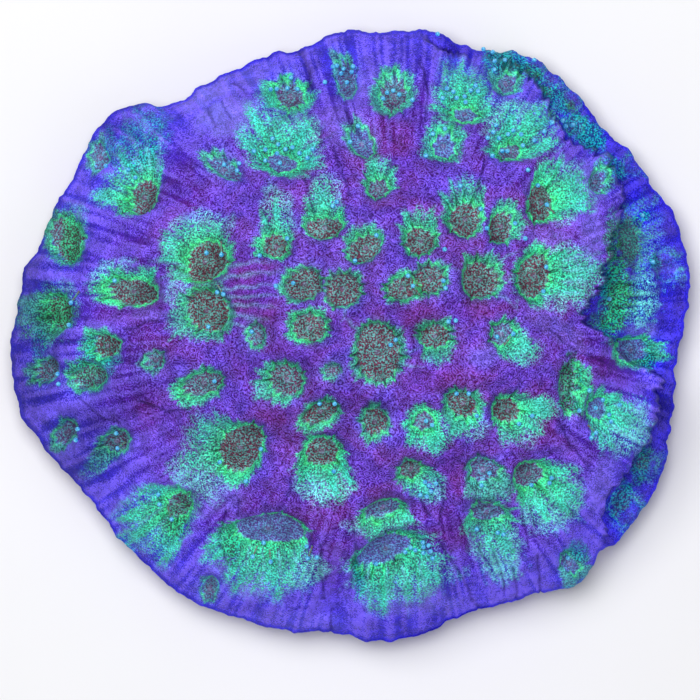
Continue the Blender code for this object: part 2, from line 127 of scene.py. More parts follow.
# Each polyp: x, y, half width and half height of its oral disc, turn in degrees, width of the wall to
# the left, right, top and bottom, then how green it glows, how teal the green is, and how violet its disc.
polyps = {
    "northSlope": [
        (292, 97, 11, 9, 0, 12, 12, 4, 18, 0.9, 0.35, 0.3),
        (285, 163, 16, 8, -15, 26, 24, 38, 10, 1, 0.4, 0.8),
        (346, 80, 8, 14, 0, 6, 5, 6, 8, 0.35, 0.8, 0.6),
        (393, 100, 12, 13, 0, 10, 12, 8, 12, 0.7, 0.55, 0.3),
        (463, 118, 10, 6, 0, 20, 16, 34, 8, 1, 0.2, 0.8),
        (505, 84, 8, 7, 15, 12, 10, 26, 8, 0.7, 0.8, 0.6),
        (508, 153, 10, 7, 0, 18, 32, 36, 8, 1, 0.2, 0.4),
        (362, 147, 8, 12, 30, 5, 4, 8, 5, 0.5, 0.7, 0.8),
        (442, 150, 10, 9, 0, 14, 14, 12, 10, 0.8, 0.6, 0.9),
        (228, 168, 14, 6, -30, 6, 4, 4, 4, 0.5, 0.7, 0.6),
    ],
    "northWestLobe": [
        (148, 197, 11, 18, -15, 22, 4, 32, 5, 0.85, 0.15, 0),
        (105, 160, 4, 12, 0, 5, 4, 10, 6, 0.4, 0.9, 0.5),
        (72, 238, 9, 18, 0, 9, 10, 18, 12, 0.7, 0.3, 0.1),
    ],
    "upperCrown": [
        (378, 190, 8, 9, 0, 9, 8, 22, 5, 0.8, 0.25, 0.3),
        (326, 228, 15, 9, 8, 6, 6, 30, 4, 0.9, 0.1, 0),
        (278, 247, 10, 11, 0, 10, 12, 32, 5, 0.9, 0.3, 0),
        (366, 250, 15, 11, 30, 8, 6, 12, 4, 0.7, 0.2, 0),
        (420, 243, 12, 13, 0, 8, 6, 24, 4, 0.8, 0.1, 0),
        (463, 221, 12, 18, 0, 10, 6, 18, 4, 0.8, 0.3, 0),
        (498, 229, 11, 13, 0, 5, 14, 12, 4, 0.7, 0.2, 0),
        (538, 204, 12, 17, 0, 5, 26, 20, 7, 1, 0.1, 0),
    ],
    "middleCrown": [
        (305, 284, 17, 13, 18, 9, 3, 6, 5, 0.6, 0.1, 0),
        (343, 289, 17, 15, 0, 3, 6, 6, 6, 0.6, 0.2, 0),
        (401, 289, 15, 10, 20, 6, 3, 7, 6, 0.7, 0.1, 0),
        (428, 281, 13, 14, 0, 3, 6, 6, 6, 0.6, 0.2, 0),
        (478, 281, 17, 16, 0, 5, 6, 9, 5, 0.7, 0.15, 0),
        (532, 277, 15, 20, 0, 6, 38, 8, 9, 1, 0.2, 0),
        (311, 328, 15, 11, 0, 8, 10, 6, 6, 0.8, 0.1, 0),
        (377, 352, 20, 26, 0, 5, 6, 5, 6, 0.5, 0.4, 0),
        (434, 336, 14, 11, 10, 7, 8, 7, 15, 0.7, 0.2, 0),
        (497, 334, 10, 8, 45, 6, 9, 5, 28, 0.9, 0.25, 0.5),
        (333, 370, 6, 4, 10, 4, 4, 4, 4, 0.3, 0.5, 0.2),
    ],
    "westCrown": [
        (208, 262, 20, 20, 0, 15, 10, 14, 4, 0.9, 0, 0),
        (210, 311, 20, 19, 0, 13, 8, 4, 10, 0.6, 0.3, 0),
        (136, 291, 20, 13, -10, 14, 9, 17, 5, 1, 0, 0),
        (258, 336, 6, 9, 0, 5, 4, 5, 5, 0.6, 0.5, 0.3),
        (160, 360, 6, 6, -30, 6, 5, 8, 6, 0.4, 0.8, 0.3),
        (205, 384, 18, 9, 20, 8, 8, 8, 8, 0.8, 0.3, 0.2),
        (288, 380, 15, 15, 0, 13, 6, 8, 6, 0.7, 0.4, 0.1),
    ],
    "westSlope": [
        (60, 312, 10, 14, 0, 20, 6, 8, 14, 0.6, 0.4, 0.1),
        (110, 346, 10, 10, 0, 15, 5, 6, 9, 0.8, 0.4, 0),
        (92, 377, 14, 10, 0, 7, 5, 8, 7, 0.6, 0.5, 0.2),
        (50, 370, 8, 10, 0, 8, 4, 5, 7, 0.4, 0.7, 0.2),
        (70, 433, 6, 8, -30, 6, 5, 8, 8, 0.5, 0.8, 0.4),
        (118, 443, 9, 12, -35, 6, 6, 8, 24, 0.6, 0.7, 0.2),
    ],
    "lowerCrown": [
        (321, 411, 17, 8, 25, 5, 5, 6, 6, 0.7, 0.4, 0),
        (375, 421, 10, 11, 0, 6, 6, 10, 6, 0.6, 0.3, 0),
        (422, 418, 7, 7, 0, 14, 13, 14, 18, 1, 0.2, 0.4),
        (461, 402, 14, 11, -30, 7, 8, 8, 20, 0.8, 0.3, 0),
        (507, 410, 12, 12, 0, 7, 20, 13, 17, 0.9, 0.1, 0),
        (243, 446, 18, 24, -25, 28, 9, 7, 15, 0.9, 0.2, 0),
        (323, 451, 15, 13, 0, 11, 17, 8, 28, 1, 0.2, 0),
        (410, 467, 10, 9, -20, 6, 24, 6, 16, 0.8, 0.2, 0.1),
        (481, 468, 12, 9, 0, 9, 13, 6, 15, 0.6, 0.6, 0.5),
    ],
    "southSlope": [
        (528, 473, 14, 10, 10, 5, 24, 6, 24, 1, 0.1, 0.3),
        (484, 509, 14, 9, 0, 11, 12, 6, 34, 0.9, 0.4, 0.6),
        (383, 507, 18, 7, 5, 9, 14, 5, 13, 0.9, 0.2, 0.6),
        (387, 548, 28, 12, 18, 9, 22, 5, 30, 1, 0.4, 0.9),
        (270, 528, 33, 14, -6, 13, 13, 4, 36, 1, 0.2, 0.8),
        (180, 504, 10, 12, -20, 36, 7, 10, 36, 1, 0.2, 0.2),
        (213, 584, 5, 8, 0, 4, 4, 7, 6, 0.3, 0.9, 0.5),
        (568, 561, 6, 6, 0, 6, 14, 13, 14, 0.5, 0.8, 0.9),
    ],
    "eastSlope": [
        (564, 385, 7, 24, -5, 4, 12, 6, 7, 0.9, 0, 0.4),
        (595, 407, 7, 10, 0, 9, 16, 14, 26, 0.9, 0.5, 0.9),
        (634, 350, 12, 9, 0, 14, 14, 8, 12, 0.9, 0.6, 0.8),
        (597, 181, 5, 9, 0, 6, 8, 7, 7, 0.6, 0.7, 0.6),
    ],
    "lowerTier": [
        (629, 240, 9, 30, 5, 5, 14, 10, 10, 0.5, 0.3, 0.3),
        (606, 306, 6, 18, -20, 5, 22, 5, 8, 1, 0.1, 0.4),
        (662, 267, 6, 12, 10, 7, 7, 10, 10, 0.4, 1, 0.6),
        (640, 463, 7, 10, -20, 8, 7, 8, 8, 0.4, 1, 0.7),
        (622, 505, 7, 13, -20, 8, 9, 12, 13, 0.5, 1, 0.6),
        (531, 68, 8, 4, -35, 8, 8, 5, 5, 0.5, 0.9, 0.5),
        (548, 84, 7, 4, -45, 8, 8, 5, 5, 0.5, 0.9, 0.5),
        (569, 104, 7, 4, -48, 8, 8, 5, 6, 0.5, 0.9, 0.5),
        (572, 130, 8, 4, -28, 8, 24, 5, 8, 0.9, 0.7, 0.7),
        (629, 168, 6, 8, 35, 6, 6, 6, 8, 0.4, 0.9, 0.5),
    ],
}

# How the pits, their walls and the fine parts in them are shaped. Lengths without a note are in pixels.
polypShape = {
    "depth": 0.0031,  # metres
    "wallDepth": 0.68,  # share of the depth in the steep wall, the rest in the ridge's shoulder
    "shoulder": 11.0,
    "blendPower": 5,
    "fullSize": 14.0,
    "leastSize": 0.35,
    "leastWall": 4.0,
    "mouthRise": 0.0005,  # metres
    "mouthSpread": 0.45,
    "farMark": 60.0,
    "leanLimit": 0.95,
    "near": 0.01,
    "tierClear": 0.25,  # how clear discs and spikes are on the lower tier
    "toothSpacing": 8.0,  # round the disc from tooth to tooth
    "toothRise": 0.00045,  # metres
    "toothReach": 9.0,  # how far up the wall a tooth runs
    "thornLength": (4.5, 3.5),  # its mean and how far it varies
    "discWobble": 0.16,
    "discPoint": 3.0,  # how far the disc's corners stand out between the teeth
    "boxPower": 2.5,
    "wallWobble": 0.20,
    "rayReach": 0.28,
    "rayRise": 0.00016,  # metres
    "rayWidths": (4.2, 2.2),
    "longWall": (9, 16),  # where walls begin to count as long, and over what length they become so
    "streaks": 0.65,
    "discSpread": 2.0,  # how far the disc's colour climbs up a short wall
    "freshReach": 4.5,  # how far up the wall the brightest green runs
}

# Heights of the finest relief, in metres, then how a wash fades: from what share of its size, how raggedly
# and over what share.
surfaceShape = {
    "costae": 0.00013,
    "lumps": 0.00042,
    "grain": 0.00006,
    "fold": 0.0005,
    "septa": 0.0002,
    "washStart": 0.55,
    "washRagged": 0.35,
    "washFade": 0.75,
}

# Each noise is a sum of parts: size in pixels, seed, share.
surfaceNoise = {
    "lumps": [(17.0, 3, 1.0), (8.0, 4, 0.6)],
    "grain": [(3.3, 5, 1.0), (1.9, 6, 0.6)],
    "ragged": [(9.0, 71, 0.6), (3.5, 72, 0.4)],
    "costae": [((1 / 512, 30), 21, 1.0), ((1 / 256, 45), 22, 0.7)],  # sizes in turns and in pixels
    "bendEast": [(8.0, 61, 1.8)],
    "bendSouth": [(8.0, 62, 1.8)],
    "broken": [(5.0, 63, 0.25)],
}

# Colour patches on the tissue beyond the polyps' own walls, the last kind patches of painted shade: x, y,
# half width, half height, turn, strength.
washes = {
    "mintWash": [
        (285, 138, 36, 26, -8, 0.7), (393, 94, 18, 13, 0, 0.45), (458, 100, 24, 13, 0, 0.7),
        (512, 124, 28, 26, 0, 0.75), (146, 166, 18, 20, -14, 0.4), (558, 192, 24, 30, 0, 0.75),
        (556, 278, 40, 30, 0, 0.85), (638, 298, 20, 27, 0, 1), (622, 425, 27, 27, -35, 0.95),
        (550, 500, 28, 30, -25, 0.9), (498, 550, 22, 34, 18, 0.8), (402, 572, 50, 23, 0, 0.95),
        (278, 566, 46, 22, -3, 0.95), (156, 526, 32, 26, 20, 0.5), (205, 472, 36, 26, 25, 0.6),
        (325, 480, 28, 24, 0, 0.8), (516, 346, 24, 14, -35, 0.8), (280, 212, 15, 26, 10, 0.4),
        (326, 196, 15, 20, 0, 0.4), (204, 226, 30, 14, 0, 0.4), (112, 276, 24, 14, 20, 0.45),
        (430, 432, 20, 18, 0, 0.4), (472, 426, 14, 14, -30, 0.4), (522, 428, 18, 16, -20, 0.45),
        (60, 304, 18, 26, 0, 0.35), (74, 226, 14, 24, 0, 0.4), (104, 350, 18, 22, 0, 0.4),
        (180, 290, 14, 20, 0, 0.3), (380, 524, 30, 12, 0, 0.6), (428, 488, 16, 12, -30, 0.5),
    ],
    "lavender": [
        (230, 118, 36, 20, 10, 1), (205, 92, 34, 14, 32, 0.9), (248, 78, 30, 14, 25, 0.5),
        (372, 84, 20, 14, 30, 0.4), (582, 190, 22, 26, 0, 0.7), (588, 240, 14, 34, 0, 0.7),
        (552, 326, 40, 12, -35, 0.5), (254, 586, 22, 14, 0, 1), (222, 564, 14, 14, 0, 0.7),
        (176, 290, 20, 14, 0, 0.5), (404, 600, 54, 16, 0, 0.6), (340, 130, 20, 26, 0, 0.4),
        (640, 330, 18, 8, 0, 0.6), (600, 480, 14, 30, -25, 0.5), (158, 316, 22, 6, 0, 0.4),
        (216, 500, 30, 14, 10, 0.5), (300, 620, 60, 10, -4, 0.35), (545, 240, 40, 10, -10, 0.4),
        (482, 356, 20, 12, 20, 0.6),
    ],
    "tealWash": [
        (497, 58, 14, 12, -20, 0.7), (528, 68, 24, 9, -33, 0.8), (556, 98, 22, 9, -52, 0.75),
        (585, 130, 26, 13, -35, 0.9), (614, 165, 16, 9, -50, 0.6), (645, 216, 6, 5, 0, 0.7),
        (655, 262, 7, 8, 0, 0.7), (612, 296, 13, 40, -8, 1), (643, 465, 9, 18, -15, 0.8),
        (622, 500, 9, 18, -15, 0.85), (576, 552, 12, 14, -20, 0.6), (648, 358, 9, 14, 0, 0.7),
        (567, 388, 12, 26, -5, 0.8), (233, 545, 10, 20, 0, 0.4), (358, 572, 6, 22, 0, 0.6),
        (98, 360, 20, 24, 0, 0.55), (142, 140, 24, 34, -8, 0.5), (112, 150, 8, 22, 10, 0.5),
        (40, 344, 8, 22, 0, 0.4),
    ],
    "olive": [
        (627, 240, 13, 30, 3, 0.95), (533, 73, 9, 5, -35, 0.5), (547, 90, 8, 5, -45, 0.5),
        (572, 106, 7, 5, -48, 0.6), (628, 292, 10, 26, 0, 0.5), (562, 384, 6, 24, -5, 0.6),
        (646, 460, 6, 12, -20, 0.4), (208, 287, 16, 12, 0, 0.9), (207, 262, 24, 22, 0, 0.5),
        (212, 312, 22, 20, 0, 0.5), (414, 286, 12, 10, 0, 0.6), (596, 322, 8, 10, -20, 0.5),
    ],
    "moss": [
        (72, 238, 12, 25, 0, 0.85), (56, 312, 18, 22, 0, 0.85), (88, 370, 17, 15, 0, 0.45),
        (617, 300, 12, 38, -6, 0.8), (611, 248, 8, 32, 4, 0.65), (566, 384, 8, 26, -5, 0.5),
        (182, 516, 16, 26, -10, 0.4), (128, 206, 10, 12, 0, 0.6), (230, 545, 8, 18, 0, 0.5),
    ],
    "wine": [
        (256, 292, 28, 44, 8, 0.9), (300, 354, 34, 18, 0, 0.7), (262, 366, 26, 20, 0, 0.5),
        (345, 322, 24, 12, 0, 0.6), (400, 316, 50, 10, 0, 0.6), (480, 310, 50, 10, 0, 0.5),
        (330, 590, 12, 42, 0, 0.7), (452, 528, 18, 22, 0, 0.6), (450, 470, 14, 30, 0, 0.6),
        (604, 176, 12, 22, -30, 0.6), (612, 372, 30, 14, -30, 0.7), (400, 168, 16, 34, 0, 0.5),
        (352, 70, 12, 14, 0, 0.5), (180, 240, 16, 30, 0, 0.2), (130, 310, 44, 14, 10, 0.5),
        (290, 415, 34, 10, 0, 0.6), (430, 380, 40, 12, 0, 0.5), (350, 400, 30, 10, 0, 0.6),
        (545, 410, 12, 30, 0, 0.4), (520, 245, 30, 8, 0, 0.4), (150, 410, 50, 20, 10, 0.3),
    ],
    # Painted shade: where the tissue is darkened, most of all on the west margin, which gets less light.
    "dark": [
        (24, 350, 44, 120, 0, 0.8), (80, 440, 54, 46, 40, 0.7), (110, 110, 34, 26, 0, 0.5),
        (60, 250, 40, 60, 0, 0.3), (130, 390, 60, 30, 20, 0.4), (345, 74, 8, 14, 0, 0.6),
        (312, 74, 8, 22, 0, 0.5), (352, 408, 60, 14, 0, 0.3), (290, 430, 20, 16, 0, 0.3),
        (566, 384, 10, 26, -5, 0.5), (650, 446, 14, 52, -18, 0.5), (612, 250, 10, 44, 4, 0.4),
    ],
}

# Folds in the tissue, grooves painted dark with shade, each a line of points, x and y, then its width, all
# in pixels.
folds = [
    (301, 50, 308, 68, 311, 88, 3), (235, 82, 246, 93, 1.5), (222, 100, 232, 120, 1.2),
    (207, 108, 216, 128, 1.4), (345, 112, 362, 140, 1.6), (287, 500, 292, 474, 303, 452, 1.2),
    (448, 556, 462, 578, 477, 606, 1.8), (478, 542, 486, 566, 1.4), (512, 568, 518, 598, 1.6),
    (538, 556, 541, 594, 1.6), (528, 500, 534, 524, 1.5), (566, 506, 576, 519, 1.4),
    (490, 545, 502, 575, 504, 596, 1.1), (424, 38, 440, 46, 450, 50, 2), (238, 498, 238, 520, 1.2),
    (332, 632, 331, 610, 1.4), (240, 140, 244, 156, 1.3), (206, 140, 211, 156, 1.4),
    (420, 500, 428, 516, 1.2), (520, 508, 530, 548, 1.2), (264, 212, 270, 232, 269, 246, 2),
    (305, 180, 312, 204, 316, 224, 1.6), (334, 150, 342, 172, 350, 196, 1.4),
    (420, 60, 428, 90, 424, 120, 1.8), (484, 160, 478, 186, 482, 204, 1.3),
    (352, 520, 356, 548, 350, 590, 1.8), (322, 545, 320, 570, 324, 600, 1.8),
    (440, 545, 450, 560, 466, 584, 1.5), (618, 297, 634, 296, 646, 298, 1.2),
    (614, 308, 628, 307, 640, 308, 1.1), (612, 284, 626, 285, 636, 285, 0.9),
    (225, 512, 218, 540, 226, 560, 1.8), (124, 330, 150, 322, 176, 320, 1.5),
    (140, 400, 168, 412, 190, 408, 1.5), (80, 400, 104, 420, 120, 424, 1.5),
    (548, 330, 576, 352, 604, 362, 1.4), (436, 476, 444, 500, 440, 524, 1.5),
    (556, 420, 572, 446, 590, 470, 1.8),
]

# Long septa that run from a polyp across the ridge as pale threads, brightest at their first point.
longSepta = [
    (226, 268, 250, 264, 272, 262, 2), (227, 279, 254, 275, 280, 273, 2.2),
    (226, 291, 254, 287, 284, 285, 2.2), (228, 299, 256, 298, 280, 297, 1.8),
    (228, 307, 256, 306, 278, 309, 2.2), (230, 315, 252, 317, 270, 320, 2),
    (228, 323, 244, 327, 256, 332, 1.8), (188, 268, 168, 262, 152, 262, 1.8),
    (188, 276, 170, 276, 156, 280, 1.8), (440, 262, 448, 268, 460, 272, 1.3),
    (348, 306, 346, 314, 340, 322, 1.2), (398, 352, 410, 352, 420, 348, 1.2),
    (398, 362, 412, 366, 424, 366, 1.2), (358, 330, 350, 324, 344, 318, 1.2),
    (500, 262, 508, 256, 518, 250, 1.6), (498, 296, 508, 302, 516, 310, 1.6),
    (562, 262, 584, 256, 602, 254, 1.8), (562, 272, 584, 268, 604, 268, 1.8),
    (562, 283, 582, 281, 600, 282, 1.8), (562, 294, 580, 294, 594, 297, 1.8),
    (614, 404, 632, 410, 650, 416, 1.4), (612, 414, 630, 422, 646, 430, 1.4),
    (608, 424, 624, 434, 638, 444, 1.4), (602, 432, 616, 446, 628, 456, 1.4),
    (142, 172, 132, 140, 122, 110, 1.5), (150, 168, 147, 138, 142, 108, 1.5),
    (158, 170, 162, 140, 162, 110, 1.5), (130, 176, 114, 152, 100, 136, 1.4),
    (250, 546, 247, 572, 244, 600, 1.4), (264, 548, 263, 576, 261, 606, 1.4),
    (280, 550, 281, 578, 282, 608, 1.4), (296, 548, 300, 576, 304, 606, 1.4),
    (370, 562, 368, 590, 366, 616, 1.4), (386, 566, 387, 592, 388, 620, 1.4),
    (402, 566, 406, 592, 410, 618, 1.4), (418, 562, 426, 586, 432, 606, 1.4),
    (544, 484, 556, 506, 566, 530, 1.3), (532, 488, 540, 512, 546, 540, 1.3),
    (170, 516, 154, 534, 140, 552, 1.3), (164, 506, 144, 520, 126, 534, 1.3),
]


def smoothstep(value):
    value = np.clip(value, 0.0, 1.0)
    return value * value * (3.0 - 2.0 * value)


def bell(value):
    return np.exp(-(value**2))


def smoothNoise(x, y, size, seed):
    # Even random values from -1 to 1 on a grid of the given size, joined smoothly.
    table = np.random.default_rng(seed).uniform(-1, 1, (256, 256))
    wide, tall = size if isinstance(size, tuple) else (size, size)
    across, along = x / wide, y / tall
    column, row = np.floor(across).astype(int), np.floor(along).astype(int)
    across, along = smoothstep(across - column), smoothstep(along - row)
    corners = [table[(row + j) % 256, (column + i) % 256] for j in (0, 1) for i in (0, 1)]
    low = corners[0] * (1 - across) + corners[1] * across
    high = corners[2] * (1 - across) + corners[3] * across
    return low * (1 - along) + high * along


def summedNoise(name, x, y):
    return sum(share * smoothNoise(x, y, size, seed) for size, seed, share in surfaceNoise[name])


def ringNoise(angle, count, seed):
    # Random values from -1 to 1 round a circle, joined smoothly.
    table = np.random.default_rng(seed).uniform(-1, 1, count)
    place = angle / math.tau % 1.0 * count
    first = place.astype(int)
    part = smoothstep(place - first)
    return table[first % count] * (1 - part) + table[(first + 1) % count] * part


def fromSummit(x, y):
    # A place in pixels, as metres to the east and north of the summit.
    return (x - colony["summit"][0]) * pixel, (colony["summit"][1] - y) * pixel


def turned(east, north, degrees):
    # The same way, along axes that are turned by an angle.
    cosTurn, sinTurn = math.cos(math.radians(degrees)), math.sin(math.radians(degrees))
    return east * cosTurn + north * sinTurn, north * cosTurn - east * sinTurn


def reachOf(points, angles):
    # Distance from the summit to a smooth closed curve through the points, for each angle.
    east, north = fromSummit(*np.array(points, float).T)
    turn = np.arctan2(north, east)
    order = np.argsort(turn)
    turn = turn[order]
    knots = np.concatenate([turn - math.tau, turn, turn + math.tau])
    heights = np.tile(np.hypot(east, north)[order], 3)
    slopes = np.gradient(heights, knots)
    first = np.searchsorted(knots, angles, side="right") - 1
    gap = knots[first + 1] - knots[first]
    part = (angles - knots[first]) / gap
    whole = (1 + 2 * part) * (1 - part) ** 2 * heights[first] + part**2 * (3 - 2 * part) * heights[first + 1]
    bend = part * (1 - part) ** 2 * slopes[first] + part**2 * (part - 1) * slopes[first + 1]
    return whole + gap * bend


def smoothed(reach, kept=colony["smoothWaves"]):
    waves = np.fft.rfft(reach)
    waves[kept:] = 0
    return np.fft.irfft(waves, len(reach))


def profile(share):
    return (1 - np.clip(share, 0.0, 1.0) ** colony["domePower"]) ** colony["domeRound"]


def baseHeight(reach, share, outer, upper, angles):
    # Height of the dome and of the lower tier, how much a place is on the tier, and the painted shade along
    # the step, on the tier below it and just inside the upper edge.
    upper = np.minimum(outer, smoothed(np.minimum(outer, upper), colony["edgeWaves"]))
    shown = smoothstep((outer - upper) / colony["shownWidth"])
    edge = colony["marginHeight"] + colony["edgeRise"] * smoothed(shown)
    dome = edge + (colony["height"] - edge) * profile(share)
    (sharp, sharpSeed, sharpShare), (soft, softSeed, softShare) = colony["sharpTeeth"], colony["softTeeth"]
    teeth = 1 - sharpShare * np.abs(ringNoise(angles, sharp, sharpSeed))
    teeth = teeth + softShare * ringNoise(angles, soft, softSeed)
    upper = upper + colony["edgeTeeth"] * shown * teeth
    tierWidth = outer - upper
    rise = np.minimum(colony["tierRise"], colony["tierSlope"] * tierWidth)
    across = np.clip((reach - upper) / np.maximum(tierWidth, pixel), 0.0, 1.0)
    tier = colony["marginHeight"] + rise * (1 - across ** colony["tierPower"])
    step = smoothstep((reach - upper + colony["stepInner"]) / colony["stepWidth"]) * shown
    beyond = (reach - upper) / pixel
    # Painted shade that the step throws out over the tier and a little in over the upper body.
    outside, inside = np.exp(-np.maximum(beyond, 0) / colony["shadeOut"]), np.exp(beyond / colony["shadeIn"])
    under = np.where(beyond > 0, outside, inside) * shown
    return dome * (1 - step) + tier * step, smoothstep(beyond / 1.6 + 0.5) * shown, under


def domeLean(x, y):
    # How far the dome's normal leans to the east and to the north, at a place in pixels.
    east, north = fromSummit(x, y)
    reach = math.hypot(east, north)
    outer = float(reachOf(outline, np.array([math.atan2(north, east)]))[0])
    share, near = min(reach / outer, polypShape["leanLimit"]), polypShape["near"]
    fall = (profile(share - near) - profile(share + near)) / (2 * near)
    fall *= (colony["height"] - colony["marginHeight"]) / outer
    lean = fall / math.hypot(1.0, fall)
    return lean * east / reach, lean * north / reach


class Polyp:
    # One polyp and the places near it. Ways and widths are in pixels, relief is in metres.
    def __init__(self, number, entry, clear, east, north):
        x, y, halfWidth, halfHeight, turn, left, right, top, bottom, self.glow, self.teal, self.dusk = entry
        shape, self.number, self.clear = polypShape, number, clear
        self.size = min(1.0, math.sqrt(halfWidth * halfHeight) / shape["fullSize"])
        self.depth = shape["depth"] * (shape["leastSize"] + (1 - shape["leastSize"]) * self.size)
        self.lean = domeLean(x, y)
        shift = self.depth / pixel
        centreEast, centreNorth = x + self.lean[0] * shift, -y + self.lean[1] * shift
        span = max(halfWidth, halfHeight) + 1.6 * max(left, right, top, bottom) + 24
        self.near = (np.abs(east - centreEast) < span) & (np.abs(north - centreNorth) < span)
        self.east, self.north = east[self.near] - centreEast, north[self.near] - centreNorth
        across, along = turned(self.east, self.north, turn)
        self.reach = np.hypot(across, along) + 1e-9
        cosine, sine = across / self.reach, along / self.reach
        self.angle = np.arctan2(along / halfHeight, across / halfWidth)

        girth = math.pi * (halfWidth + halfHeight)
        self.teeth = max(6, round(girth / shape["toothSpacing"]))
        self.wave = np.cos(self.teeth * self.angle + 2.4 * self.noise(5, 0) + number)
        strength = smoothstep(0.45 + 0.9 * self.noise(self.teeth, 5)) * clear
        self.spike = smoothstep((self.wave - 0.62) / 0.36) * strength
        plainDisc = 1.0 / np.hypot(cosine / halfWidth, sine / halfHeight)
        self.disc = plainDisc * (1 + shape["discWobble"] * self.noise(6, 1))
        self.disc += shape["discPoint"] * (self.spike - 0.2) * (0.4 + 0.6 * self.size)
        self.beyond = self.reach - self.disc

        sideWall, endWall = np.where(cosine > 0, right, left), np.where(sine > 0, top, bottom)
        wall = cosine**2 * sideWall + sine**2 * endWall
        leanAcross, leanAlong = turned(*self.lean, turn)
        self.sunk = np.maximum(wall - shift * (cosine * leanAcross + sine * leanAlong), shape["leastWall"])
        power = shape["boxPower"]
        boxy = (np.abs(cosine) / (halfWidth + sideWall)) ** power
        boxy = boxy + (np.abs(sine) / (halfHeight + endWall)) ** power
        wide = boxy ** (-1 / power) * (1 + shape["wallWobble"] * self.noise(7, 6))
        self.wide = np.maximum(wide - plainDisc, 1.0)
        self.longWall = smoothstep((self.wide - shape["longWall"][0]) / shape["longWall"][1])
        broad, narrow = shape["rayWidths"]
        self.rays = 0.6 * self.noise(round(girth / broad) + 6, 2)
        self.rays = self.rays + 0.5 * self.noise(round(girth / narrow) + 8, 3)

    def noise(self, count, kind):
        return ringNoise(self.angle, count, 40 * self.number + kind)

    def pit(self):
        share = polypShape["wallDepth"]
        steep = share * (1 - smoothstep(self.beyond / self.sunk))
        gentle = (1 - share) * (1 - smoothstep(self.beyond / (self.sunk + polypShape["shoulder"])))
        return self.depth * (steep + gentle)

    def colourMarks(self):
        # How much of each kind of tissue lies on a place, and the painted shade on it.
        shape, rays, beyond, longWall = polypShape, self.rays, self.beyond, self.longWall
        greenReach = self.wide * (0.80 + 0.20 * longWall)
        greenReach = greenReach * (1 + shape["rayReach"] * rays * (1 - 0.5 * longWall))
        greenReach += 1.8 + 2.4 * rays + 0.8 * longWall
        share = beyond / np.maximum(greenReach, 1.5)
        pastDisc = beyond - shape["discSpread"] * (1 - 0.7 * longWall)
        inDisc = smoothstep(0.5 - pastDisc / 2.0)
        green = (1 - smoothstep((share - 0.55) / 0.65)) * (1 - inDisc) * self.clear
        streaks = np.clip(0.5 + 0.9 * rays, 0, 1)
        green = green * (1 - shape["streaks"] * longWall * smoothstep((share - 0.15) / 0.7) * (1 - streaks))
        self.inDisc, self.green = inDisc, green
        mean, change = shape["thornLength"]
        length = mean + change * self.noise(self.teeth, 4)
        thorn = self.spike * smoothstep((beyond + 1.5) / 2)
        thorn = thorn * (1 - smoothstep((beyond - 0.3 * length) / length))
        mint = longWall * smoothstep((beyond / np.maximum(self.wide, 1) - 0.15) / 0.75) * green
        fresh = np.exp(-np.maximum(beyond, 0) / shape["freshReach"]) * (1 - inDisc)
        # Painted shade on the summit side of the disc, under the pit's upper wall.
        summitSide = -(self.east * self.lean[0] + self.north * self.lean[1]) / self.disc
        shade = smoothstep(0.25 + 0.9 * summitSide) * smoothstep((self.disc + 4 - self.reach) / 6)
        shade *= min(1.0, 2.2 * math.hypot(*self.lean))
        broken = smoothstep(0.75 + 0.8 * self.noise(2 * self.teeth, 7))
        rim = bell(pastDisc - 1.2 - 1.3 * self.wave) * broken * (1 - 0.7 * shade) * self.clear
        return {
            "disc": inDisc * self.clear, "green": green, "near": fresh * self.clear, "mint": mint,
            "rim": rim * (0.5 + 0.5 * self.glow), "spike": thorn, "shade": shade,
        }

    def relief(self):
        # The mouth's mound, the teeth and the rays, on top of the pit.
        shape = polypShape
        toothLine = smoothstep((self.beyond + 2.5) / 3) * (1 - smoothstep(self.beyond / shape["toothReach"]))
        raised = shape["mouthRise"] * self.size * bell(self.reach / self.disc / shape["mouthSpread"])
        raised -= shape["toothRise"] * toothLine * (self.spike - 0.25) * (0.5 + 0.5 * self.size)
        return raised + shape["rayRise"] * self.rays * self.green * (0.4 + 0.6 * self.longWall)


def sinkPolyps(east, north):
    # Relief of all polyps in metres, and what each place belongs to.
    depths, extra = np.zeros_like(east), np.zeros_like(east)
    names = ("disc", "green", "near", "mint", "ray", "teal", "dusk", "rim", "spike", "glow", "shade")
    marks = {name: np.zeros_like(east) for name in names}
    marks.update({name: np.full_like(east, polypShape["farMark"]) for name in ("contour", "mouth")})
    entries = [(entry, group) for group, members in polyps.items() for entry in members]
    for number, (entry, group) in enumerate(entries, 1):
        clear = polypShape["tierClear"] if group == "lowerTier" else 1.0
        polyp = Polyp(number, entry, clear, east, north)
        near, covers = polyp.near, polyp.colourMarks()
        depths[near] += polyp.pit() ** polypShape["blendPower"]
        extra[near] += polyp.relief()
        strong = (polyp.green > marks["green"][near]) | (polyp.inDisc > 0.3)
        own = {"teal": polyp.teal, "dusk": polyp.dusk, "glow": polyp.glow, "ray": polyp.rays}
        for name, value in own.items():
            marks[name][near] = np.where(strong, value, marks[name][near])
        for name, value in covers.items():
            marks[name][near] = np.maximum(marks[name][near], value)
        for name, value in (("contour", np.maximum(polyp.beyond, -2)), ("mouth", polyp.reach)):
            marks[name][near] = np.minimum(marks[name][near], value)
    return extra - depths ** (1 / polypShape["blendPower"]), marks


def marginLobes(turn):
    # 0 on each lobe of the margin and down to -1 in the notches between them.
    drift = colony["lobeDrift"] * (np.sin(5 * turn + 0.8) + 0.6 * np.sin(11 * turn - 2.0))
    size = 0.55 + 0.45 * np.sin(9 * turn + 2 * np.sin(4 * turn) + 1.5 * np.sin(13 * turn))
    return -(0.5 + 0.5 * np.cos(colony["lobes"] * turn + drift)) * size


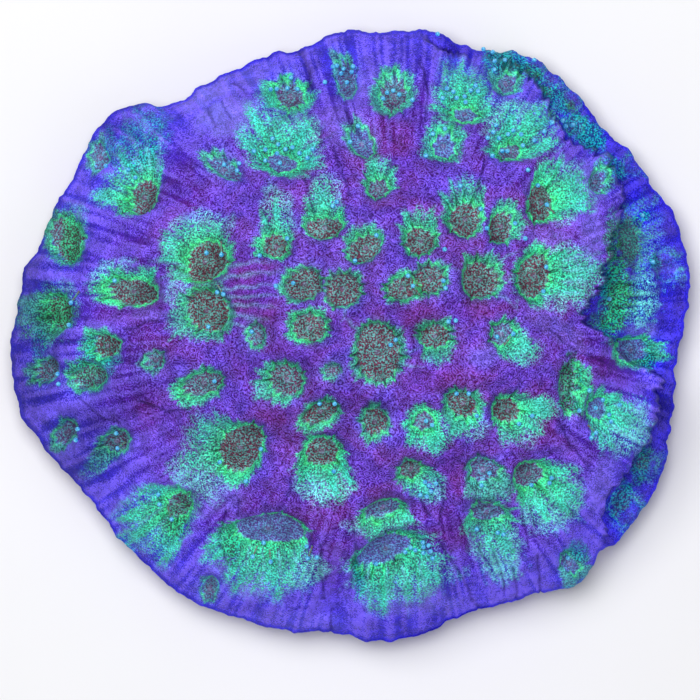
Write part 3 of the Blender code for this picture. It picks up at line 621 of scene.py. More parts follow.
def lineMarks(lines, east, south, fading=0.0):
    # How much a place lies on one of the lines, from 0 to 1.
    deep = np.zeros_like(east)
    bentEast = east + summedNoise("bendEast", east, south)
    bentSouth = south + summedNoise("bendSouth", east, south)
    for *line, width in lines:
        corners = list(zip(line[::2], line[1::2]))
        for number, ((x0, y0), (x1, y1)) in enumerate(zip(corners, corners[1:])):
            length = math.hypot(x1 - x0, y1 - y0)
            part = np.clip(((bentEast - x0) * (x1 - x0) + (bentSouth - y0) * (y1 - y0)) / length**2, 0, 1)
            away = np.hypot(bentEast - x0 - part * (x1 - x0), bentSouth - y0 - part * (y1 - y0))
            strength = 1 - fading * (number + part) / (len(corners) - 1)
            deep = np.maximum(deep, strength * bell(away / width))
    return deep * (0.75 + summedNoise("broken", east, south))


def washMarks(east, south, streaks):
    # How much of each wash lies on a place, ragged and streaked along its border.
    ragged = summedNoise("ragged", east, south) + surfaceShape["washRagged"] * streaks
    start, raggedness, fade = [surfaceShape[name] for name in ("washStart", "washRagged", "washFade")]
    covers = {}
    for kind, patches in washes.items():
        cover = np.zeros_like(east)
        for x, y, halfWidth, halfHeight, turn, strength in patches:
            across, along = turned(east - x, y - south, turn)
            far = np.hypot(across / halfWidth, along / halfHeight)
            inside = 1 - smoothstep((far - start + raggedness * ragged) / fade)
            cover = np.maximum(cover, strength * inside)
        covers[kind] = cover
    return covers


def evenShares(count):
    # Ring places that lie evenly along the dome's slope.
    fine = np.linspace(0, 1, 3000)
    height = (colony["height"] - colony["marginHeight"]) * profile(fine)
    steps = np.hypot(np.diff(fine) * colony["length"] / 2, np.diff(height))
    run = np.concatenate([[0], np.cumsum(steps)])
    return np.interp(np.linspace(0, run[-1], count + 1)[1:], run, fine)


def normalsOf(points):
    along = np.gradient(points, axis=0)
    around = np.roll(points, -1, axis=1) - np.roll(points, 1, axis=1)
    normal = np.cross(along, around)
    return normal / (np.linalg.norm(normal, axis=-1, keepdims=True) + 1e-12)


def growSurface():
    angles = np.arange(colony["spokes"]) * math.tau / colony["spokes"] - math.pi
    outer = reachOf(outline, angles)
    softOuter = smoothed(outer)
    share = evenShares(colony["rings"])[:, None]
    reach = share * (softOuter + (outer - softOuter) * share ** colony["wigglePower"])
    turn = np.broadcast_to(angles, reach.shape)
    height, tier, under = baseHeight(reach, share, outer, reachOf(upperEdge, angles), angles)
    lobes = marginLobes(turn)
    reach = reach + colony["lobeReach"] * lobes * share ** colony["lobePower"]
    base = np.stack([reach * np.cos(turn), reach * np.sin(turn), height], axis=-1)
    plain = base.copy()
    plain[..., 2] = colony["marginHeight"] + (colony["height"] - colony["marginHeight"]) * profile(share)
    normal = normalsOf(plain)

    east = base[..., 0] / pixel + colony["summit"][0]
    north = base[..., 1] / pixel - colony["summit"][1]
    pits, marks = sinkPolyps(east, north)
    wide, tall, fineWide, fineTall = colony["swellSpans"]
    waves = np.sin(east / wide + 0.6) * np.sin(north / tall - 1.1)
    waves = waves + 0.6 * np.sin(east / fineWide - north / fineTall)
    calm = 1 - smoothstep((share - colony["calmStart"]) / (1 - colony["calmStart"]))
    relief = (pits + colony["swell"] * waves) * calm
    ribs = smoothstep((share - colony["ribStart"]) / (1 - colony["ribStart"]))
    relief += colony["ribHeight"] * lobes * ribs

    # Fine costae run outward from the summit; lumps and grain cover the ridges.
    costae = summedNoise("costae", turn / math.tau, reach / pixel)
    costae = costae * smoothstep((share - colony["costaeStart"]) / colony["costaeFade"])
    lumps, grain = [summedNoise(name, east, north) for name in ("lumps", "grain")]
    relief += surfaceShape["costae"] * costae * (1 - marks["disc"])
    relief += surfaceShape["lumps"] * lumps * (1 - marks["disc"]) * (1 - 0.6 * share)
    relief += surfaceShape["grain"] * grain
    seenEast = east + normal[..., 0] * relief / pixel
    seenSouth = -(north + normal[..., 1] * relief / pixel)
    marks["fold"] = lineMarks(folds, seenEast, seenSouth)
    marks["septa"] = lineMarks(longSepta, seenEast, seenSouth, 0.8)
    relief -= surfaceShape["fold"] * marks["fold"]
    relief += surfaceShape["septa"] * marks["septa"]
    marks.update(washMarks(seenEast, seenSouth, costae))
    marks.update(costae=costae, margin=np.broadcast_to(share, reach.shape), tier=tier, under=under)
    grown = base + normal * relief[..., None]
    # How far the relief leans out beyond the dome, for painted shade on slopes that lean out and painted
    # light on those that lean back.
    outwardLean = normalsOf(grown)[..., :2] - normal[..., :2]
    outward = np.stack([np.cos(turn), np.sin(turn)], axis=-1)
    marks["tilt"] = np.clip((outwardLean * outward).sum(axis=-1), -1, 1)
    return grown, marks, angles


def addMesh(name, points, faces, material):
    faces = np.asarray(faces, dtype=np.int32)
    mesh = bpy.data.meshes.new(name)
    mesh.vertices.add(len(points))
    mesh.vertices.foreach_set("co", np.ascontiguousarray(points, dtype=np.float32).ravel())
    mesh.loops.add(faces.size)
    mesh.loops.foreach_set("vertex_index", faces.ravel())
    mesh.polygons.add(len(faces))
    mesh.polygons.foreach_set("loop_start", np.arange(0, faces.size, faces.shape[1], dtype=np.int32))
    mesh.update(calc_edges=True)
    mesh.validate()
    mesh.shade_smooth()
    piece = bpy.data.objects.new(name, mesh)
    bpy.context.scene.collection.objects.link(piece)
    mesh.materials.append(material)
    return piece


def ringFaces(counts):
    # Triangles between rings of points, where a ring may have half the points of the next one out.
    faces, start = [], 0
    for inner, outer in zip(counts, counts[1:]):
        here, after = np.arange(inner), (np.arange(inner) + 1) % inner
        far = start + inner
        if inner == outer:
            faces.append(np.stack([start + here, far + here, far + after], axis=-1))
            faces.append(np.stack([start + here, far + after, start + after], axis=-1))
        else:
            middle, last = far + 2 * here + 1, far + (2 * here + 2) % outer
            faces.append(np.stack([start + here, far + 2 * here, middle], axis=-1))
            faces.append(np.stack([start + here, middle, start + after], axis=-1))
            faces.append(np.stack([middle, last, start + after], axis=-1))
        start = far
    return np.concatenate(faces)


def fanFaces(centre, corners):
    return np.stack([np.full(len(corners), centre), corners, np.roll(corners, -1)], axis=-1)


def addMarks(piece, marks):
    for name, values in marks.items():
        attribute = piece.data.attributes.new(name, "FLOAT", "POINT")
        attribute.data.foreach_set("value", np.ascontiguousarray(values, dtype=np.float32).ravel())


# Shader maths: one output socket, on which plain Python operators add Math nodes.
class Wire:
    def __init__(self, sheet, socket):
        self.sheet, self.socket = sheet, socket

    def math(self, operation, other=None, flip=False, clamp=False):
        first, second = (other, self) if flip else (self, other)
        values = {0: first} if other is None else {0: first, 1: second}
        return self.sheet.node("ShaderNodeMath", {"operation": operation, "use_clamp": clamp}, values)

    def __add__(self, other): return self.math("ADD", other)
    def __sub__(self, other): return self.math("SUBTRACT", other)
    def __rsub__(self, other): return self.math("SUBTRACT", other, flip=True)
    def __mul__(self, other): return self.math("MULTIPLY", other)
    def __abs__(self): return self.math("ABSOLUTE")
    __radd__ = __add__
    __rmul__ = __mul__

    def held(self): return self.math("ADD", 0.0, clamp=True)
    def sine(self): return self.math("SINE")

    def rising(self, low, high):
        values = {"Value": self, "From Min": low, "From Max": high}
        return self.sheet.node("ShaderNodeMapRange", {"interpolation_type": "SMOOTHSTEP"}, values)


# One material. Its look is a dictionary, and a colour in it is given by its name there.
class Sheet:
    def __init__(self, name, look):
        self.look = look
        self.material = bpy.data.materials.new(name)
        self.material.use_nodes = True
        self.tree = self.material.node_tree
        self.shader = self.tree.nodes["Principled BSDF"]

    def node(self, kind, settings=None, values=None, out=0):
        made = self.tree.nodes.new(kind)
        for name, value in (settings or {}).items():
            setattr(made, name, value)
        for name, value in (values or {}).items():
            self.put(made.inputs[name], value)
        return Wire(self, made.outputs[out])

    def put(self, socket, value):
        if isinstance(value, Wire):
            self.tree.links.new(value.socket, socket)
        else:
            socket.default_value = self.look[value] if isinstance(value, str) else value

    def finish(self, **values):
        for name, value in values.items():
            self.put(self.shader.inputs[name.replace("_", " ")], value)
        return self.material

    def mark(self, name):
        return self.node("ShaderNodeAttribute", {"attribute_name": name}, out="Fac")

    def mix(self, share, first, second):
        settings = {"data_type": "RGBA", "clamp_factor": True}
        return self.node("ShaderNodeMix", settings, {0: share, 6: first, 7: second}, out=2)

    def layers(self, colour, *covers):
        # Each cover, a share and a colour, over what came before it.
        for share, over in covers:
            colour = self.mix(share, colour, over)
        return colour

    def vector(self, operation, *parts, **values):
        values.update(enumerate(parts))
        return self.node("ShaderNodeVectorMath", {"operation": operation}, values)

    def scaled(self, colour, factor):
        return self.vector("SCALE", colour, Scale=factor)

    def place(self):
        return self.node("ShaderNodeTexCoord", out="Object")

    def noise(self, place, size, detail=2.0, distortion=0.0, out=0):
        values = {"Vector": place, "Scale": 1 / size, "Detail": detail, "Distortion": distortion}
        return self.node("ShaderNodeTexNoise", None, values, out)

    def pattern(self, place, name):
        size, detail, distortion, low, high = self.look[name]
        return self.noise(place, size, detail, distortion).rising(low, high)

    def cells(self, place, size):
        return self.node("ShaderNodeTexVoronoi", None, {"Vector": place, "Scale": 1 / size})

    def bump(self, height, distance):
        values = {"Height": height, "Distance": distance, "Strength": 0.9}
        return self.node("ShaderNodeBump", None, values, "Normal")


def colour(red, green, blue):
    # A colour as the eye reads it on a screen, 0 to 255, in the linear values that shaders take.
    shares = [part / 255 for part in (red, green, blue)]
    return [s / 12.92 if s <= 0.04045 else ((s + 0.055) / 1.055) ** 2.4 for s in shares] + [1.0]


tissueLook = {
    "ridge": colour(82, 34, 205),
    "ridgeRed": colour(124, 24, 122),
    "ridgeDark": colour(38, 14, 116),
    "ridgeMaroon": colour(74, 8, 66),
    "ridgeBlue": colour(66, 62, 240),
    "ridgePale": colour(138, 112, 255),
    "margin": colour(66, 60, 255),
    "edge": colour(38, 30, 220),
    "tier": colour(36, 34, 255),
    "tierDark": colour(30, 26, 160),
    "wine": colour(120, 16, 88),
    "green": colour(30, 228, 158),
    "greenDeep": colour(32, 104, 98),
    "lime": colour(84, 255, 158),
    "teal": colour(16, 178, 186),
    "tealDeep": colour(14, 66, 112),
    "olive": colour(62, 92, 76),
    "oliveSpeck": colour(46, 170, 120),
    "moss": colour(46, 206, 132),
    "mossDark": colour(58, 88, 66),
    "discBrown": colour(122, 62, 80),
    "discSpeck": colour(90, 176, 168),
    "discDark": colour(52, 42, 56),
    "discViolet": colour(96, 104, 220),
    "discPale": colour(104, 158, 236),
    "mouth": colour(140, 110, 160),
    "mint": colour(118, 252, 232),
    "fan": colour(78, 226, 226),
    "dullDark": colour(44, 40, 88),
    "dullPale": colour(84, 170, 160),
    "wallThread": colour(110, 255, 214),
    "lavender": colour(136, 132, 255),
    "spike": colour(16, 40, 36),
    "septa": colour(120, 190, 230),
    # Painted shade in the grooves of the folds.
    "fold": colour(30, 10, 70),
    # How fully some colours cover the tissue where their marks are strongest.
    "wineCover": 0.75,
    "lavenderCover": 0.8,
    "mintCover": 0.85,
    "tealCover": 0.9,
    "oliveCover": 0.85,
    "mossCover": 0.8,
    "discCover": 0.94,
    "spikeCover": 0.8,
    "foldShadeCover": 0.7,
    # Noise patterns: size in metres, detail, distortion, and the levels between which each one rises.
    "maze": (0.00033, 0.0, 0.0, 0.40, 0.60),
    "specks": (0.00030, 1.0, 0.0, 0.38, 0.62),
    "patch": (0.0050, 2.0, 0.3, 0.36, 0.62),
    "broad": (0.013, 2.0, 0.0, 0.40, 0.62),
    # Painted light and shade of broad mounds on the ridges, which the mesh doesn't have.
    "mound": (0.0026, 1.0, 0.0, 0.30, 0.70),
    # Shares of the way out over which the summit's tones fade, the margin's come in and the lip's come in.
    "innerFade": (0.55, 0.95),
    "marginFade": (0.70, 0.97),
    "edgeFade": (0.988, 1.0),
    # Pixels round the mouth over which its tone and its ripples fade, and the ripples' turn for each.
    "mouthFade": (1.5, 3.5),
    "rippleFade": (4.5, 9.0),
    "rippleTurn": 1.9,
    "threadSize": 0.00052,
    "raggedSize": 0.0009,
    "ringSize": 0.0015,
    "ringCount": 26,
    "warpSize": 0.0012,
    "warpReach": 0.0006,
    # How the painted light and shade is scaled: its darkest level, its contrast, and the painted shade of
    # slopes that lean out, of the pits' summit sides, along the step and in the shade washes.
    "darkest": 0.50,
    "contrast": 0.70,
    "tiltShade": 0.38,
    "shade": 0.60,
    "under": 0.5,
    "dark": 0.55,
    # Strength of a painted glow: the skin emits its own colour, standing in for the coral's fluorescence.
    "glow": 0.20,
    "roughness": 0.6,
    "bump": 0.00016,
}


def tissueGrain(sheet, mark):
    # Curled threads and small rings of skeleton showing through, finer specks between them, and patches.
    look, place = tissueLook, sheet.place()
    warp = sheet.noise(place, look["warpSize"], 1.0, out="Color")
    bent = sheet.vector("ADD", place, sheet.scaled(warp, look["warpReach"]))
    rings = (sheet.cells(bent, look["ringSize"]) * look["ringCount"] + mark.contour * 0.3).sine() * 0.5 + 0.5
    threads = 1 - abs(sheet.noise(place, look["threadSize"], 1.0, 0.3) * 2 - 1).rising(0.02, 0.26)
    names = ("maze", "patch", "broad", "mound")
    grain = SimpleNamespace(**{name: sheet.pattern(place, name) for name in names})
    grain.specks = sheet.pattern(sheet.vector("ADD", place, (0.3, 0.1, 0.2)), "specks")
    grain.ragged = sheet.noise(place, look["raggedSize"], 2.0, 0.5) - 0.5
    grain.threads, grain.curls = threads, (rings * 0.62 + threads * 0.55).held()
    grain.streak = mark.costae * mark.margin
    return grain


def ridgeColour(sheet, mark, grain):
    look, patch = tissueLook, grain.patch
    inner = 1 - mark.margin.rising(*look["innerFade"])
    lines = (grain.curls + grain.streak * 0.9 - 0.1).held()
    hollow = sheet.mix(inner * (0.35 + patch * 0.5), "ridgeDark", "ridgeMaroon")
    pale = lines * (1 - mark.wine * 0.65) * (1 - mark.tier * 0.6) * (0.60 - inner * 0.12)
    return sheet.layers(
        "ridge",
        (inner * (0.28 + patch * 0.55), "ridgeRed"),
        (mark.wine * look["wineCover"], "wine"),
        (mark.margin.rising(*look["marginFade"]) * 0.9, "margin"),
        (mark.tier, sheet.mix(patch * 0.6, "tier", "tierDark")),
        (grain.broad * inner * 0.35, "ridgeBlue"),
        (mark.lavender * look["lavenderCover"], "lavender"),
        ((1 - grain.specks) * (0.15 + inner * 0.35), hollow),
        ((1 - lines) * (0.34 + inner * 0.32) * (1 - mark.lavender * 0.6), hollow),
        (pale, "ridgePale"),
        (mark.near * (lines * 0.5 + grain.maze * 0.2), "septa"),
        (mark.margin.rising(*look["edgeFade"]) * 0.85, "edge"),
    )


def wallColour(sheet, mark, grain):
    # The green of the polyps' walls, and how much of it lies on a place.
    maze, threads, streak = grain.maze, grain.threads, grain.streak
    bright = sheet.layers(
        sheet.mix(mark.teal * 0.8, "green", "teal"),
        ((1 - mark.teal) * (mark.near * 0.6 + grain.patch * 0.15), "lime"),
    )
    grained = threads * 0.45 + maze * (0.5 - mark.mint * 0.25) + mark.near * 0.3
    dull = (1 - mark.glow) * 1.1 * (1 - mark.near * 0.5)
    green = sheet.layers(
        sheet.mix(mark.teal * 0.8, "greenDeep", "tealDeep"),
        ((mark.ray * 0.40 + grained + streak * 0.30).held(), bright),
        ((1 - grain.specks) * 0.22, "discBrown"),
        (threads * (1 - mark.near * 0.5) * 0.26, "wallThread"),
        (mark.mint * (0.30 + maze * 0.55), "fan"),
        (dull.held(), sheet.mix(maze, "dullDark", "dullPale")),
    )
    border = mark.green * (1 - mark.green) * 4
    share = mark.green + (grain.ragged * 1.1 + threads * 0.8 + streak * 0.5 - 0.4) * border
    return green, share.held() * (mark.glow * 0.4 + 0.6)


def discColour(sheet, mark, grain):
    # The oral disc with its specks, ripples and mouth, and how much of it lies on a place.
    look = tissueLook
    ripple = (mark.mouth * look["rippleTurn"]).sine() * 0.5 + 0.5
    speck = sheet.layers(sheet.mix(mark.teal * 0.5, "discSpeck", "teal"), (mark.dusk * 0.8, "discPale"))
    disc = sheet.layers(
        sheet.mix(mark.dusk * 0.75, "discBrown", "discViolet"),
        (grain.maze * 0.74, speck),
        ((1 - grain.specks) * (0.42 - mark.dusk * 0.30), "discDark"),
        (ripple * (1 - mark.mouth.rising(*look["rippleFade"])) * 0.30, "discSpeck"),
        ((1 - mark.mouth.rising(*look["mouthFade"])) * 0.45, "mouth"),
    )
    return disc, (mark.disc + grain.ragged * mark.disc * (1 - mark.disc) * 4).held()


def livingTissue():
    look = tissueLook
    sheet = Sheet("living_tissue", look)
    names = ("disc", "green", "near", "mint", "ray", "teal", "dusk", "rim", "spike", "glow", "contour",
             "mouth", "fold", "costae", "margin", "tier", "under", "tilt", "shade", "septa", *washes)
    mark = SimpleNamespace(**{name: sheet.mark(name) for name in names})
    grain = tissueGrain(sheet, mark)
    maze, threads, specks, ragged = grain.maze, grain.threads, grain.specks, grain.ragged
    ridge = ridgeColour(sheet, mark, grain)
    green, greenShare = wallColour(sheet, mark, grain)
    disc, discShare = discColour(sheet, mark, grain)

    def ragShare(cover, strength):
        return (cover + (ragged + threads * 0.6 - 0.25) * cover * (1 - cover) * 4).held() * look[strength]

    streaked = maze * 0.55 + threads * 0.5 + grain.streak * 0.6 + 0.1
    skin = sheet.layers(
        ridge,
        (ragShare(mark.mintWash, "mintCover"), sheet.mix(streaked.held() * 0.92, ridge, "mint")),
        (greenShare, green),
        (ragShare(mark.tealWash, "tealCover"), sheet.mix(maze, "tealDeep", "teal")),
        (ragShare(mark.olive, "oliveCover"), sheet.mix(maze, "olive", "oliveSpeck")),
        (discShare * look["discCover"], disc),
        (ragShare(mark.moss, "mossCover"), sheet.mix(maze, "mossDark", "moss")),
        (mark.rim * (0.65 + threads * 0.35), "lime"),
        (mark.spike * (1 - discShare) * look["spikeCover"], "spike"),
        # Painted shade along the folds.
        (mark.fold * look["foldShadeCover"], "fold"),
        (mark.septa * (1 - discShare) * (0.35 + threads * 0.4), "septa"),
    )

    # Painted light and shade, multiplied into the colour: of the fine relief, darker on slopes that lean out
    # and lighter on those that lean back, on the pits' summit sides, along the step, in the shade washes and
    # on the mounds.
    busy = (greenShare + discShare + mark.mintWash).held()
    fine = grain.curls * (1 - busy) * 0.6 + maze * (0.12 + busy * 0.33) + specks * (0.26 + busy * 0.19)
    tilt = mark.tilt * (1 - greenShare * 0.6) * look["tiltShade"]
    light = (fine * look["contrast"] + look["darkest"]) * (1 - tilt)
    light = light * (1 - mark.shade * look["shade"] * (1 - mark.dusk * 0.6))
    light = light * (1 - mark.under * look["under"])
    # Painted shade washes, and painted light and shade of the mounds.
    light = light * (1 - mark.dark * look["dark"]) * (0.80 + grain.mound * 0.38)
    skin = sheet.scaled(skin, light)
    # The skin also emits its own colour, a painted glow that stands in for fluorescence.
    return sheet.finish(
        Base_Color=skin, Roughness=look["roughness"] + specks * 0.15 - mark.disc * 0.08,
        Normal=sheet.bump(fine, look["bump"]), Emission_Color=skin, Emission_Strength=look["glow"],
        Specular_IOR_Level=0.12,
    )


# The tissue is one sheet of rings, kept as five joined bands: the first ring and the last of each.
bands = {
    "crown_tissue": (0, 110), "shoulder_tissue": (110, 168), "slope_tissue": (168, 226),
    "outer_tissue": (226, 284), "margin_tissue": (284, 340),
}

# The lip's turn under the margin: how far in and how far down, in metres and in lip thicknesses.
lipTurn = [(-0.0002, 0.12), (-0.0003, 0.35), (-0.0001, 0.6), (0.0004, 0.85), (0.0013, 1.02), (0.0024, 1.1)]


def addTissue(material):
    surface, marks, angles = growSurface()
    say("surface worked out")
    outward = np.stack([np.cos(angles), np.sin(angles)], axis=-1)
    lip = []
    for inset, drop in lipTurn:
        ring = surface[-1].copy()
        ring[:, :2] -= outward * inset
        ring[:, 2] = colony["marginHeight"] - drop * colony["lipThickness"]
        lip.append(ring)
    surface = np.concatenate([surface, np.array(lip)])
    for name, values in marks.items():
        marks[name] = np.concatenate([values, np.repeat(values[-1:], len(lip), axis=0)])
    flat = surface.reshape(-1, 3)
    middle = (flat.max(axis=0) + flat.min(axis=0)) / 2
    colony["shift"] = [(low + high) / 2 - own for low, high, own in zip(cadLow[:2], cadHigh[:2], middle)]
    surface[..., :2] += colony["shift"]
    normals = normalsOf(surface)
    spokes, total = colony["spokes"], len(surface)
    thin = np.ones(total, int)
    thin[:colony["halfRings"]] = 2
    thin[:colony["quarterRings"]] = 4
    for name, (first, last) in bands.items():
        rings = range(first, total if last == colony["rings"] else last + 1)

        def gather(values):
            return np.concatenate([values[ring, ::thin[ring]] for ring in rings])

        points, normal = gather(surface), gather(normals)
        faces = ringFaces([spokes // thin[ring] for ring in rings])
        here = {key: gather(values) for key, values in marks.items()}
        if first == 0:
            count = spokes // thin[0]
            faces = np.concatenate([faces, fanFaces(len(points), np.arange(count))])
            points = np.concatenate([points, surface[0].mean(axis=0, keepdims=True)])
            normal = np.concatenate([normal, [[0.0, 0.0, 1.0]]])
            here = {key: np.append(values, values[:count].mean()) for key, values in here.items()}
        piece = addMesh(name, points, faces, material)
        piece.data.normals_split_custom_set_from_vertices(normal)
        addMarks(piece, here)
        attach(piece, "root")
        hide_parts("coral_colony")
    return surface, normals, angles


# Rock side under the lip and the flat cut, bare skeleton.
skeletonLook = {
    "bone": colour(206, 192, 168),
    "boneDark": colour(128, 108, 88),
    "pink": colour(176, 96, 132),
    "pore": colour(70, 56, 46),
    "stain": (0.003, 4.0, 0.0, 0.35, 0.65),
    "crust": (0.012, 3.0, 0.5, 0.52, 0.6),
    "poreSize": 0.0011,
    "poreFade": (0.12, 0.30),
    "pitSize": 0.0007,
    "bump": 0.0002,
    "rings": 22,
    "ribs": 110,
    "ribPower": 0.6,
    "ribDepth": 0.0004,
    "rough": 0.00022,
    "sharpAngle": 50,
}


def bareSkeleton():
    look = skeletonLook
    sheet = Sheet("bare_skeleton", look)
    place = sheet.place()
    crust = sheet.pattern(place, "crust")
    openPores = 1 - sheet.cells(place, look["poreSize"]).rising(*look["poreFade"])
    stain = sheet.pattern(place, "stain")
    bone = sheet.layers("bone", (stain, "boneDark"), (crust * 0.8, "pink"), (openPores * 0.75, "pore"))
    bump = sheet.bump(sheet.noise(place, look["pitSize"], 3.0) - openPores * 0.8, look["bump"])
    return sheet.finish(Base_Color=bone, Roughness=0.9 - crust * 0.2, Normal=bump)


def addSkeleton(surface, angles, material):
    look, start, spokes = skeletonLook, surface[-1], len(angles)
    outward = np.stack([np.cos(angles), np.sin(angles)], axis=-1)
    inward = colony["undercut"] - lipTurn[-1][0]
    ribs = 1 - np.abs(np.sin(look["ribs"] / 2 * angles + np.sin(6 * angles))) ** look["ribPower"]
    rows = []
    for step in range(look["rings"] + 1):
        part = step / look["rings"]
        rough = smoothNoise(angles * 60, np.full_like(angles, step * 0.9), 1.5, 8)
        inset = inward * part + look["ribDepth"] * ribs * math.sin(math.pi * part)
        inset = inset + look["rough"] * rough * part * (1 - part) * 4
        ring = start.copy()
        ring[:, :2] -= outward * np.maximum(inset, 0)[:, None]
        ring[:, 2] = start[0, 2] * (1 - part)
        rows.append(ring)
    points = np.concatenate(rows)
    centre = points[-spokes:].mean(axis=0, keepdims=True)
    cut = fanFaces(len(points), np.arange(spokes) + len(points) - spokes)[:, [0, 2, 1]]
    faces = np.concatenate([ringFaces([spokes] * len(rows)), cut])
    piece = addMesh("bare_skeleton", np.concatenate([points, centre]), faces, material)
    piece.data.set_sharp_from_angle(angle=math.radians(look["sharpAngle"]))
    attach(piece, "root")
    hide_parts("coral_colony")


# Tentacle tips: x and y in pixels, and for those that hang out on a stalk the place where it starts.
tentacles = {
    "tipRadius": 2.4,  # pixels
    "stalkRadius": 0.9,
    "sides": 10,
    "headRise": 0.75,  # in tip radii, as is the next
    "rootDepth": 1.6,
    "stalkLift": 1.2,  # in stalk radii, as is the next
    "footWidth": 1.3,
    "stalkSteps": (0.25, 0.5, 0.75),
    "capRings": 8,
    "seatReach": 2.0,  # pixels
    "stalk": colour(104, 66, 84),
    "stalkSpeck": colour(64, 150, 130),
    "bulb": colour(46, 140, 206),
    "bulbSpeck": colour(104, 200, 236),
    "stalkSpecks": (0.0004, 2.0, 0.0, 0.35, 0.65),
    "bulbSpecks": (0.0003, 2.0, 0.0, 0.4, 0.6),
    "tips": [
        (129, 170), (136, 178), (106, 166), (225, 166), (240, 165), (238, 172), (291, 78), (271, 90),
        (266, 151), (266, 162), (293, 149), (300, 155), (313, 151), (308, 160), (273, 140), (333, 67),
        (337, 66), (325, 83), (353, 67), (347, 83), (412, 102), (475, 87), (442, 100), (484, 48), (505, 60),
        (494, 70), (495, 127), (492, 134), (491, 158), (543, 133), (506, 153), (358, 128), (350, 144),
        (444, 131), (432, 136), (425, 158), (337, 204), (333, 208), (288, 240), (261, 257),
        (208, 254, 208, 243), (223, 256, 222, 243), (225, 295, 219, 286), (219, 293), (210, 327),
        (294, 284), (277, 287), (376, 237), (355, 262), (443, 251), (479, 211), (485, 230), (459, 188),
        (513, 225), (523, 240), (536, 187), (545, 206, 552, 214), (526, 172), (407, 277),
        (412, 287, 419, 296), (444, 289), (442, 282), (544, 268, 540, 258), (541, 292), (116, 281),
        (72, 303, 80, 291), (70, 325), (58, 374), (59, 384), (78, 429), (76, 440), (117, 433),
        (118, 448, 126, 442), (216, 381), (253, 332), (395, 340), (390, 345), (447, 322), (454, 321),
        (495, 337), (511, 334, 502, 345), (320, 403), (335, 403), (425, 420), (431, 424), (455, 393),
        (467, 393), (475, 415), (530, 415), (517, 423), (262, 448), (221, 461), (247, 480), (334, 470),
        (435, 482), (428, 484), (426, 495), (488, 472), (480, 484), (550, 477), (548, 482), (530, 484),
        (476, 528), (428, 544), (430, 550), (432, 557), (405, 551), (376, 563), (415, 549),
        (253, 556, 258, 545), (271, 561, 270, 549), (308, 557, 312, 545), (317, 556), (264, 542),
        (307, 545), (172, 519, 168, 506), (160, 504), (159, 494), (609, 421), (594, 432, 586, 424),
        (589, 437), (577, 410), (587, 390), (609, 299), (653, 262), (566, 126), (568, 558), (438, 33),
        (535, 59), (643, 215), (387, 94), (393, 92), (399, 96), (383, 100), (470, 92), (464, 98),
        (512, 132), (520, 136), (498, 140),
    ],
    # More tips in loose clusters: x, y, half width, half height, how many.
    "clusters": [
        (285, 155, 34, 10, 5), (460, 96, 24, 10, 5), (508, 142, 28, 12, 5), (500, 60, 14, 10, 2),
        (345, 74, 10, 9, 3), (606, 408, 16, 12, 4), (428, 488, 12, 8, 3), (420, 548, 14, 7, 4),
        (290, 90, 14, 8, 3), (504, 530, 12, 8, 2), (562, 122, 14, 8, 3),
    ],
    "clusterSpacing": 4.6,
    "clusterSeed": 5,
}


def scatterTips():
    # The listed tips, then the clusters' own, none nearer to another than the spacing.
    tips, random = list(tentacles["tips"]), np.random.default_rng(tentacles["clusterSeed"])
    for x, y, halfWidth, halfHeight, count in tentacles["clusters"]:
        placed = 0
        for east, south in random.uniform(-1, 1, (12 * count, 2)):
            place = (x + east * halfWidth, y + south * halfHeight)
            near = min(math.hypot(tip[0] - place[0], tip[1] - place[1]) for tip in tips)
            if placed < count and east**2 + south**2 < 1 and near > tentacles["clusterSpacing"]:
                tips.append(place)
                placed += 1
    return tips


def tentacleSkin():
    sheet = Sheet("tentacle_tips", tentacles)
    tip, place = sheet.mark("tip"), sheet.place()
    stalk = sheet.mix(sheet.pattern(place, "stalkSpecks"), "stalk", "stalkSpeck")
    bulb = sheet.mix(sheet.pattern(place, "bulbSpecks"), "bulb", "bulbSpeck")
    skin = sheet.mix(tip, stalk, bulb)
    rough = 0.4 + tip * -0.05
    # The tips also emit their own colour, a painted glow.
    return sheet.finish(Base_Color=skin, Roughness=rough, Emission_Color=skin, Emission_Strength=0.15)


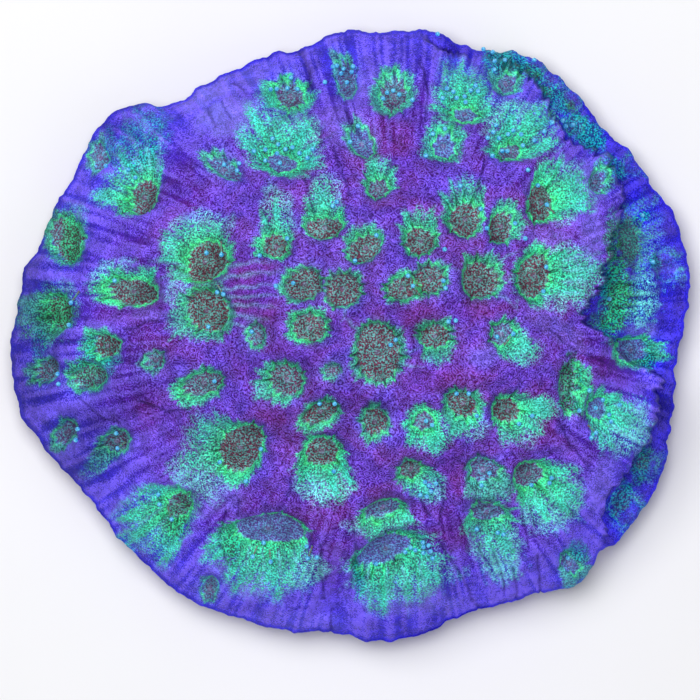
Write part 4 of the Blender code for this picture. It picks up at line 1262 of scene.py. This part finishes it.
def addTentacles(surface, normals, material):
    form = tentacles
    flat, flatNormals = surface.reshape(-1, 3), normals.reshape(-1, 3)
    radius, stalkRadius, sides = form["tipRadius"] * pixel, form["stalkRadius"] * pixel, form["sides"]
    points, faces, tipMark = [], [], []

    def seat(x, y):
        east, north = [part + shift for part, shift in zip(fromSummit(x, y), colony["shift"])]
        away = np.hypot(flat[:, 0] - east, flat[:, 1] - north)
        close = np.nonzero(away < max(form["seatReach"] * pixel, away.min() * 1.01))[0]
        best = close[np.argmax(flat[close, 2])]
        return Vector((east, north, float(flat[best, 2]))), Vector(flatNormals[best].tolist())

    def addRing(centre, axes, size, mark, before=None):
        start = len(points)
        for step in range(sides):
            turn = math.tau * step / sides
            points.append(centre + (axes[0] * math.cos(turn) + axes[1] * math.sin(turn)) * size)
            tipMark.append(mark)
        for step in range(sides if before is not None else 0):
            after = (step + 1) % sides
            faces.append((before + step, before + after, start + after))
            faces.append((before + step, start + after, start + step))
        return start

    for entry in scatterTips():
        stalked = len(entry) == 4
        ground, normal = seat(*entry[:2])
        head = ground + Vector((0, 0, form["headRise"] * radius))
        foot = ground - normal * form["rootDepth"] * radius
        if stalked:
            foot, footNormal = seat(*entry[2:])
            foot = foot - footNormal * stalkRadius
        way = head - foot
        length = way.length
        way.normalize()
        side = way.cross(Vector((0.3, 0.2, 1.0))).normalized()
        axes = (side, way.cross(side))
        lift = Vector((0, 0, form["stalkLift"] * stalkRadius if stalked else 0))
        ring = addRing(foot, axes, stalkRadius * form["footWidth"], 0.0)
        for part in form["stalkSteps"]:
            centre = foot + way * length * part + lift * math.sin(math.pi * part)
            ring = addRing(centre, axes, stalkRadius, 0.0, ring)
        for step in range(1, form["capRings"]):
            turn = math.pi * step / form["capRings"]
            ring = addRing(head - way * math.cos(turn) * radius, axes, math.sin(turn) * radius, 1.0, ring)
        faces.extend((ring + step, ring + (step + 1) % sides, len(points)) for step in range(sides))
        points.append(head + way * radius)
        tipMark.append(1.0)
    piece = addMesh("tentacle_tips", np.array([tuple(p) for p in points]), faces, material)
    addMarks(piece, {"tip": np.array(tipMark)})
    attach(piece, "root")


studio = {
    "floor": colour(236, 236, 238),
    "floorShade": colour(205, 205, 210),
    "floorHalf": 1.5,
    "floorTone": (0.05, 3.0, 0.0, 0.3, 0.7),
    "lens": 500.0,
    "sensor": 36.0,
    "frameSide": 700,  # pixels
    "frameCentre": (350.0, 350.0),
    "focusHeight": 0.014,
    # Each lamp's place, size and power.
    "lamps": {"key_lamp": ((-0.10, 0.14, 0.60), 0.45, 3.6), "fill_lamp": ((0.35, -0.30, 0.45), 0.50, 0.5)},
    "world": 0.30,
}


def addFloor():
    half = studio["floorHalf"]
    sheet = Sheet("studio_floor", studio)
    tone = sheet.mix(sheet.pattern(sheet.place(), "floorTone") * 0.06, "floor", "floorShade")
    material = sheet.finish(Base_Color=tone, Roughness=0.85)
    corners = np.array([(-half, -half, 0), (half, -half, 0), (half, half, 0), (-half, half, 0)], float)
    floor = addMesh("studio_floor", corners, [(0, 1, 2, 3)], material)


def addLamp(name, place, size, power):
    lamp = bpy.data.lights.new(name, "AREA")
    lamp.shape = "DISK"
    lamp.size = size
    lamp.energy = power
    holder = bpy.data.objects.new(name, lamp)
    bpy.context.scene.collection.objects.link(holder)
    holder.location = place
    holder.rotation_euler = (-Vector(place)).to_track_quat("-Z", "Y").to_euler()


def addStudio():
    scene = bpy.context.scene
    world = bpy.data.worlds.new("studio")
    scene.world = world
    world.use_nodes = True
    background = world.node_tree.nodes["Background"]
    background.inputs["Color"].default_value = (1.0, 1.0, 1.0, 1.0)
    background.inputs["Strength"].default_value = studio["world"]
    for name, lamp in studio["lamps"].items():
        addLamp(name, *lamp)
    camera = bpy.data.cameras.new("camera")
    camera.lens = studio["lens"]
    camera.sensor_width = studio["sensor"]
    camera.clip_start = 0.05
    camera.clip_end = 10.0
    holder = bpy.data.objects.new("camera", camera)
    scene.collection.objects.link(holder)
    distance = studio["frameSide"] * pixel * studio["lens"] / studio["sensor"]
    east, north = [part + shift for part, shift in zip(fromSummit(*studio["frameCentre"]), colony["shift"])]
    holder.location = (east, north, distance + studio["focusHeight"])
    scene.camera = holder
    scene.view_settings.view_transform = "Standard"


surface, normals, angles = addTissue(livingTissue())
say("tissue made")
addSkeleton(surface, angles, bareSkeleton())
addTentacles(surface, normals, tentacleSkin())
say("skeleton and tentacles made")
addFloor()
addStudio()
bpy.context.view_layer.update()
say("size written")
